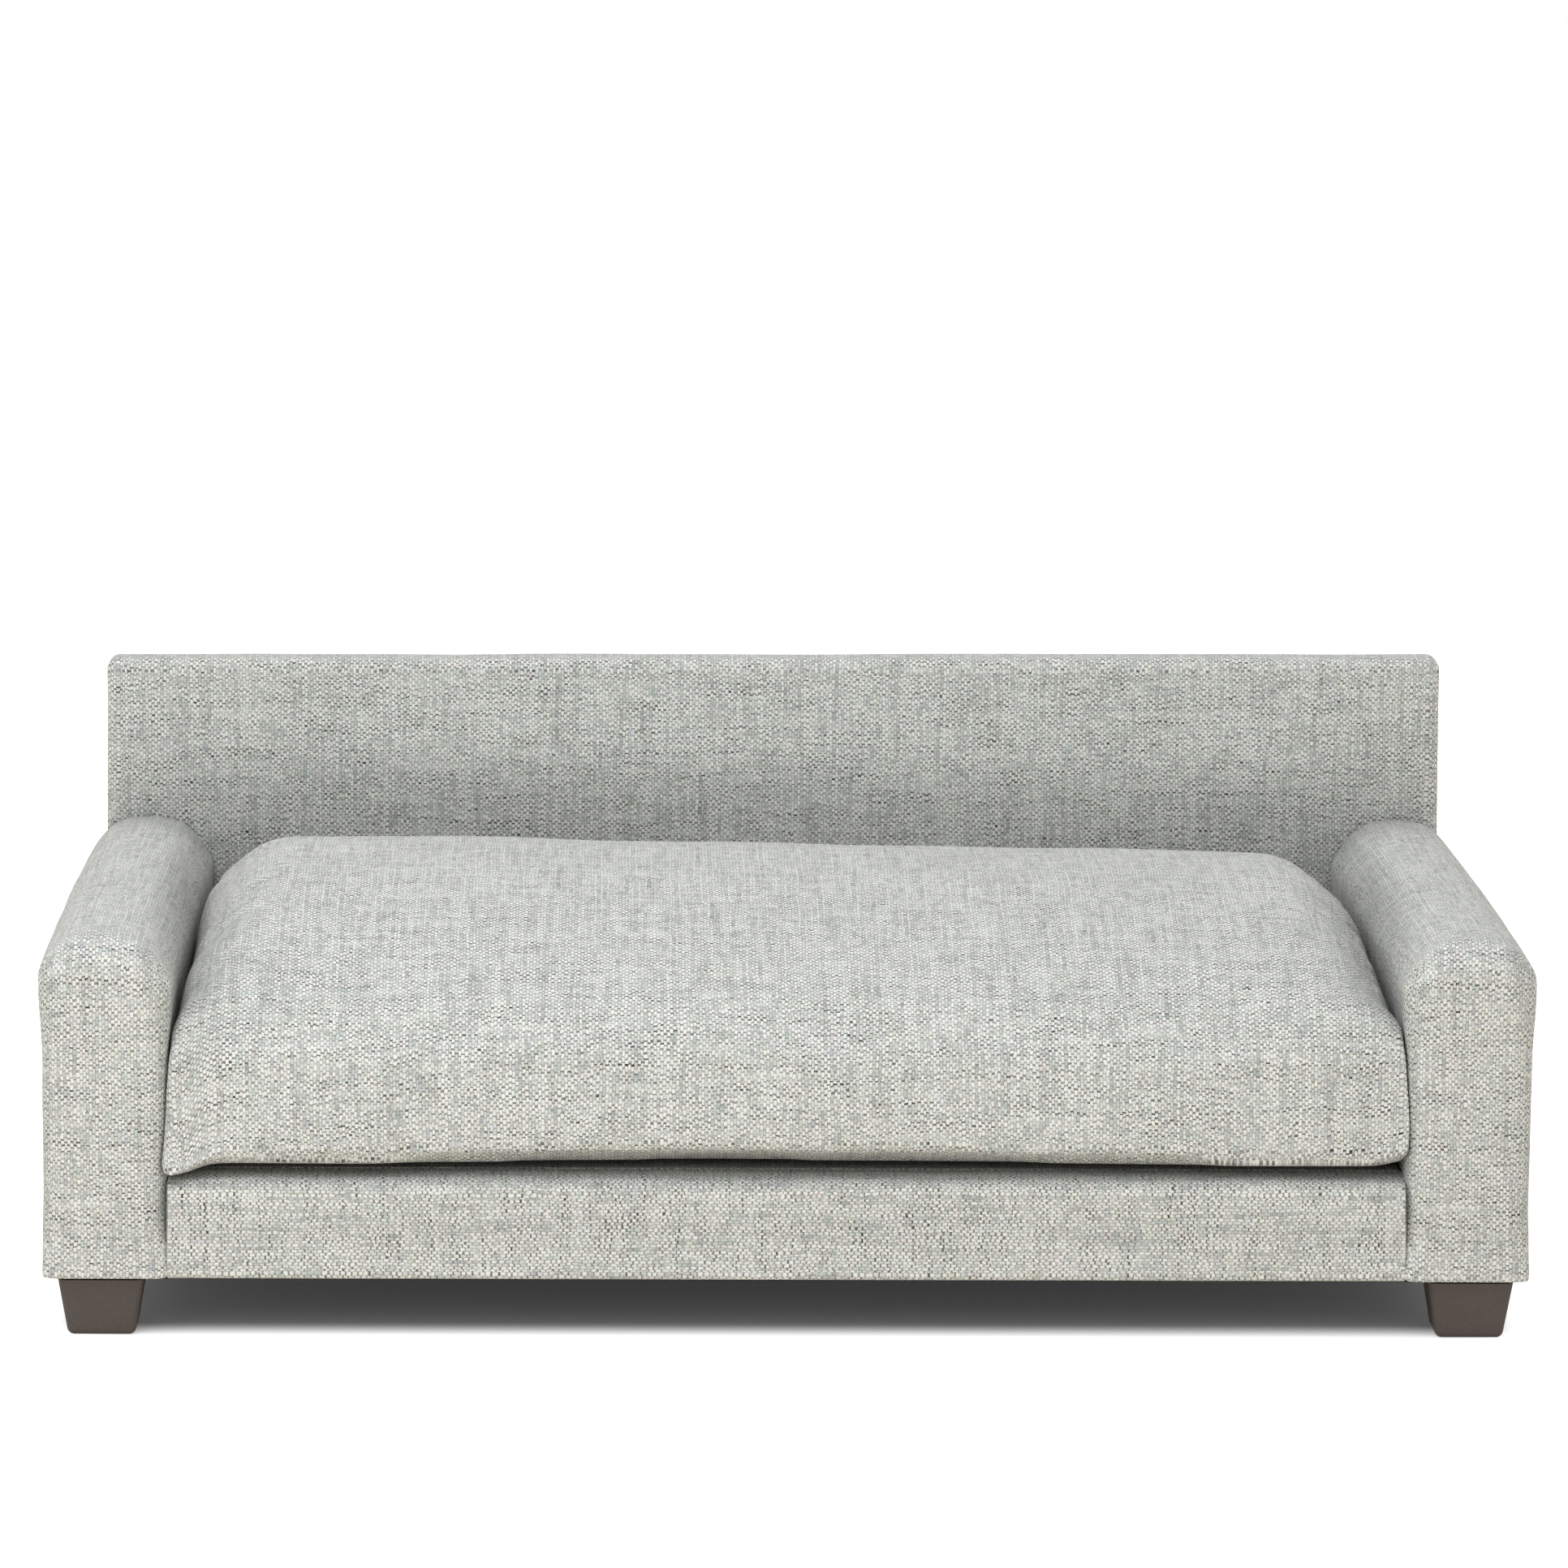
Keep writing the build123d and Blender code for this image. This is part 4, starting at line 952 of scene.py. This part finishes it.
class DOGSOFA_OT_cushion(bpy.types.Operator):
    """Builds the loose stuffed cushion"""

    bl_idname = "dog_sofa.cushion"
    bl_label = "Cushion"

    fill = 0.7
    own_seed = 40
    spacing = 7 * MM
    base_height = 25 * MM
    rear_round = 18 * MM

    # The front seam's lift off the deck, and its waves by place, reach and height, in millimetres
    seam_lift = 5.6
    seam_waves = ((0, 170, 2), (-319, 10, -11), (-335, 7, 10), (336, 14, 4.5))
    seam_depth = 45 * MM

    # Depth of the full front, its flare as a share of the width, and its belly's swell, height and reach
    front_depth = 40 * MM
    flare = 0.024
    belly_swell = 4 * MM
    belly_height, belly_reach = 132 * MM, 32 * MM

    # How far the seam stands forward, less towards the corners, in millimetres, and how late it falls off
    toe, toe_fall, toe_power = 6, 3, 8

    # Heights over the deck: where the crown sets in, where the seam's forms fade and where the waves set in
    crown_start = 20 * MM
    seam_fade = (5 * MM, 55 * MM)
    calm_base = (2 * MM, 12 * MM)

    # Waves and puckers of the cloth, the share of the half width where these set in, and what is cut off
    waves = ((1.5, (110, 90, 70), 0), (0.6, (40, 40, 30), 1))
    pucker, pucker_size, pucker_seed = 1.6, (60, 17, 60), 2
    pucker_place = (0.82, 0.98)
    cut_small = 1.2

    # The trial of the stuffing: what is held, how well and how long it runs, how far the cloth may stretch,
    # and how much of an inward move of the sides is kept
    held_base, held_rear = 10 * MM, 3 * MM
    quality, steps = 6, 20
    shrink = -0.02
    inward = 0.1

    # How far the sides press into the arms, and the part of the half width that moves with them
    press = 1.2 * MM
    pressed = (0.75, 0.97)

    # How far round the zip the wall is kept flat, and the gaps to the zip and the back and into the deck
    wall = 12 * MM
    zip_gap, back_gap, deck_press = 0.5 * MM, 0.3 * MM, 0.1 * MM

    def execute(self, context):
        scene = context.scene
        cushion, seed = scene.dog_sofa.cushion, scene.dog_sofa.seed + self.own_seed
        low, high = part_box("cushion_top_panel")
        low.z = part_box("cushion_bottom_panel")[0].z
        roll_top = high.z - cushion.roll_height
        upright = (cushion.side_round, cushion.corner_depth, cushion.seam_round)
        rounds = (
            (low.z, (cushion.side_round, cushion.seam_round, cushion.seam_round)),
            (low.z + self.base_height, upright),
            (roll_top, (cushion.brow_round, cushion.roll, cushion.roll_height)),
        )
        box = SoftBox(low, (high.x, high.y, roll_top), rounds, self.spacing, rear=self.rear_round)
        self.shape(box, cushion, low, high, roll_top, seed)
        self.stuff(box, cushion)
        self.press_sides(box, high)
        self.keep_room(box.points, low, high)
        panels = "cushion_top_panel", "cushion_bottom_panel"
        filling = "cushion_fibre_wrap", "cushion_foam_slab"
        padded_piece(box, "cushion_cover", self.fill, "cushion", *panels, *filling)
        return {"FINISHED"}

    def shape(self, box, cushion, low, high, roll_top, seed):
        """Shapes the cut: a crown that leans left, full front corners, a wavy seam and puckered sides."""
        x, y, z = box.points.T
        along = (y - low.y) / (high.y - low.y)
        across = x / high.x
        front = smooth_step(-y, -low.y - self.front_depth, -low.y)
        height = smooth_step(z, low.z + self.crown_start, roll_top)
        place = cushion.crown_place
        ahead, behind = np.clip(1 - along / place, 0, 1), np.clip((along - place) / (1 - place), 0, 1)
        aside = np.clip(1 - (high.x - np.abs(x)) / cushion.shoulder_width, 0, 1)
        crown = cushion.crown - cushion.lean * across - cushion.shoulder * aside**2
        rise = crown * (1 - ahead**2) - cushion.rear_fall * behind**2
        belly = front * hump(z, self.belly_height, self.belly_reach)
        toe = (self.toe - self.toe_fall * across**self.toe_power) * MM
        fade_start, fade_end = self.seam_fade
        near_deck = 1 - smooth_step(z, low.z + fade_start, low.z + fade_end)
        seam = [size * hump(x / MM, middle, reach) for middle, reach, size in self.seam_waves]
        lift = self.seam_lift + sum(seam)
        near_seam = np.exp((low.y - y) / self.seam_depth)
        x *= 1 + self.flare * front
        y -= self.belly_swell * (belly + front) + toe * front * near_deck
        z += rise * height + lift * MM * near_seam * near_deck

        waves = wavy(box.points, self.waves, seed)
        puckers = self.pucker * smooth_step(np.abs(across), *self.pucker_place) * height
        waves += puckers * ripples(box.points, self.pucker_size, seed + self.pucker_seed)
        calm, full = self.calm_base
        box.puff((waves - self.cut_small) * MM * smooth_step(z, low.z + calm, low.z + full))

    def stuff(self, box, cushion):
        """Lets the filling push the sewn cloth out, while the base and the wall with the zip stay put."""
        scene = bpy.context.scene
        trial = mesh_piece("cushion_trial", box.points, box.quads, upholstery(scene))
        points = box.points
        x, y, z = points.T
        base, rear = z.min() + self.held_base, y.max() - self.held_rear
        held = (z < base) | (y > rear)
        group = trial.vertex_groups.new(name="held")
        group.add([int(i) for i in np.flatnonzero(held)], 1.0, "REPLACE")
        cloth = trial.modifiers.new("Cloth", "CLOTH")
        cloth.collision_settings.use_collision = False
        cloth.settings.quality = self.quality
        cloth.settings.use_pressure = True
        cloth.settings.uniform_pressure_force = cushion.pressure
        cloth.settings.vertex_group_mass = group.name
        cloth.settings.shrink_min = self.shrink
        cloth.settings.effector_weights.gravity = 0
        for step in range(1, self.steps + 1):
            scene.frame_set(step)
        swollen = trial.evaluated_get(bpy.context.evaluated_depsgraph_get()).data
        if len(swollen.vertices) != len(points):
            raise RuntimeError("the stuffed cushion lost its cloth")
        shape = np.empty(points.size)
        swollen.vertices.foreach_get("co", shape)
        move = shape.reshape(points.shape) - points
        move[:, 0] *= np.where(move[:, 0] * x < 0, self.inward, 1.0)
        size = np.maximum(np.linalg.norm(move, axis=1, keepdims=True), TINY)
        points += move / size * cushion.most_swell * np.tanh(size / cushion.most_swell)
        scene.frame_set(1)
        bpy.data.objects.remove(trial)

    def press_sides(self, box, high):
        """Presses the sides against the arms, as a cushion does that is cut a little wide."""
        x, y, _ = box.points.T
        inner, outer = (share * high.x for share in self.pressed)
        for side, upright in (("left", 0), ("right", 1)):
            brow = box.points[np.take(box.grids[side], -TURNS - 1, axis=upright)]
            depth = np.maximum.accumulate(brow[:, 1])
            short = self.room(depth, high) - np.abs(brow[:, 0])
            beside = x * SIDES[side]
            share = smooth_step(beside, inner, outer)
            x += SIDES[side] * share * np.interp(y, depth[TURNS + 1 :], short[TURNS + 1 :])

    def room(self, depth, high):
        """How far out the sides may reach at a depth: up to the arms, and more before their round fronts."""
        rounding = bpy.context.scene.dog_sofa.arms.front_round
        round_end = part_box("arm_cover_left")[0].y + rounding
        past = np.clip(round_end - depth, 0, rounding)
        return high.x + self.press + rounding - np.sqrt(rounding**2 - past**2)

    def keep_room(self, points, low, high):
        """Keeps the cushion off the arms, the back and the deck, and its wall flat under the zip."""
        x, y, z = points.T
        tape_low, tape_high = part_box("zip_tapes")
        beside = np.abs(x) - tape_high.x
        off = np.maximum(np.maximum(tape_low.z - z, z - tape_high.z), beside)
        flat = (y > high.y - self.wall) * (1 - smooth_step(off, 0.0, self.wall))
        y += (high.y - self.zip_gap - y) * flat
        y[:] = np.minimum(y, high.y - self.back_gap)
        z[:] = np.maximum(z, low.z - self.deck_press)
        room = self.room(y, high)
        x[:] = np.clip(x, -room, room)


class DOGSOFA_OT_zip(bpy.types.Operator):
    """Builds the zip at the rear of the cushion: its tape, the turns of its coil and its stitches"""

    bl_idname = "dog_sofa.zip"
    bl_label = "Zip"

    # The tape's grid, and where it starts and ends from the outer face of its solid
    spacing = 6 * MM
    tape_inside, tape_outside = 0.4 * MM, 0.1 * MM

    # The coil's turns and their distance from the middle of the tape
    tooth = (1.7 * MM, 2.3 * MM, 1.0 * MM)
    tooth_offset = 1.2 * MM

    # The stitches, their distance from the tape's edge, and how unevenly they are turned
    stitch = (0.6 * MM, 0.6 * MM, 2.7 * MM)
    hem = 2.6 * MM
    sway = 0.08

    def execute(self, context):
        sofa = context.scene.dog_sofa
        low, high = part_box("zip_tapes")
        low.y = high.y - self.tape_inside
        high.y += self.tape_outside
        tape = thin_cloth("zip_tape", low, high, self.spacing, ribbed_tape())
        seat(tape, "zip_tape", "cushion", "zip_tapes")

        coil_low, coil_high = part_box("zip_coil")
        middle, y = (coil_low.z + coil_high.z) / 2, (coil_low.y + coil_high.y) / 2
        paths = []
        for side, shift in ((-1, 0), (1, sofa.coil_pitch / 2)):
            z = middle + side * self.tooth_offset
            paths.append([(coil_low.x + shift, y, z), (coil_high.x - shift, y, z)])
        teeth = row_piece("zip_teeth", paths, sofa.coil_pitch, self.tooth, 0.0, sofa.seed, coil_nylon())
        seat(teeth, "zip_coil", "cushion", "zip_coil")

        west, east = low.x + self.hem, high.x - self.hem
        base, top = low.z + self.hem, high.z - self.hem
        face = high.y
        paths = ring([(west, face, base), (east, face, base), (east, face, top), (west, face, top)])
        thread = sewing_thread()
        stitches = row_piece(
            "zip_stitches", paths, sofa.stitch_pitch, self.stitch, self.sway, sofa.seed, thread
        )
        seat(stitches, "zip_tape", "cushion")
        return {"FINISHED"}


# Fittings


class DOGSOFA_OT_fittings(bpy.types.Operator):
    """Gives the feet, the hidden frame and the fasteners their finishes"""

    bl_idname = "dog_sofa.fittings"
    bl_label = "Feet and hidden frame"

    def execute(self, context):
        finishes = {
            "foot_plastic": moulded_polypropylene(),
            "pine": planed_pine(),
            "plywood": birch_plywood(),
            "hardboard": pressed_hardboard(),
            "zinc_steel": zinc_plated_steel(),
            "zip_metal": painted_zinc(),
            "zip_coil": coil_nylon(),
        }
        for part in frame["record"]["subparts"]:
            finish = finishes.get(part["material_slot"])
            if finish:
                slots = frame["nodes"][part["node"]].data.materials
                slots.clear()
                slots.append(finish)
        return {"FINISHED"}


class DOGSOFA_PT_sofa(bpy.types.Panel):
    """Lists the steps and the settings of the dog sofa"""

    bl_idname = "DOGSOFA_PT_sofa"
    bl_label = "Dog sofa"
    bl_space_type = "VIEW_3D"
    bl_region_type = "UI"
    bl_category = "Dog sofa"

    def draw(self, context):
        sofa = context.scene.dog_sofa
        for operator in OPERATORS:
            self.layout.operator(operator.bl_idname)
        for group in (sofa.weave, sofa.arms, sofa.cushion, sofa.stage, sofa):
            box = self.layout.box()
            for name in group.__annotations__:
                if name not in POINTERS:
                    box.prop(group, name)


GROUPS = (WeaveSettings, ArmSettings, CushionSettings, StageSettings, SofaSettings)
POINTERS = ("weave", "arms", "cushion", "stage")
OPERATORS = (
    DOGSOFA_OT_stage,
    DOGSOFA_OT_arms,
    DOGSOFA_OT_back,
    DOGSOFA_OT_front_rail,
    DOGSOFA_OT_dust_cover,
    DOGSOFA_OT_cushion,
    DOGSOFA_OT_zip,
    DOGSOFA_OT_fittings,
)
CLASSES = (*GROUPS, *OPERATORS, DOGSOFA_PT_sofa)


def register():
    """Registers the classes and gives the scene its settings."""
    for cls in CLASSES:
        bpy.utils.register_class(cls)
    bpy.types.Scene.dog_sofa = PointerProperty(type=SofaSettings)


def unregister():
    """Takes the settings and the classes away again."""
    del bpy.types.Scene.dog_sofa
    for cls in reversed(CLASSES):
        bpy.utils.unregister_class(cls)


def main():
    """Builds the stage and every piece."""
    register()
    bpy.ops.dog_sofa.stage()
    bpy.ops.dog_sofa.arms()
    bpy.ops.dog_sofa.back()
    bpy.ops.dog_sofa.front_rail()
    bpy.ops.dog_sofa.dust_cover()
    bpy.ops.dog_sofa.cushion()
    bpy.ops.dog_sofa.zip()
    bpy.ops.dog_sofa.fittings()


if __name__ == "__main__":
    main()
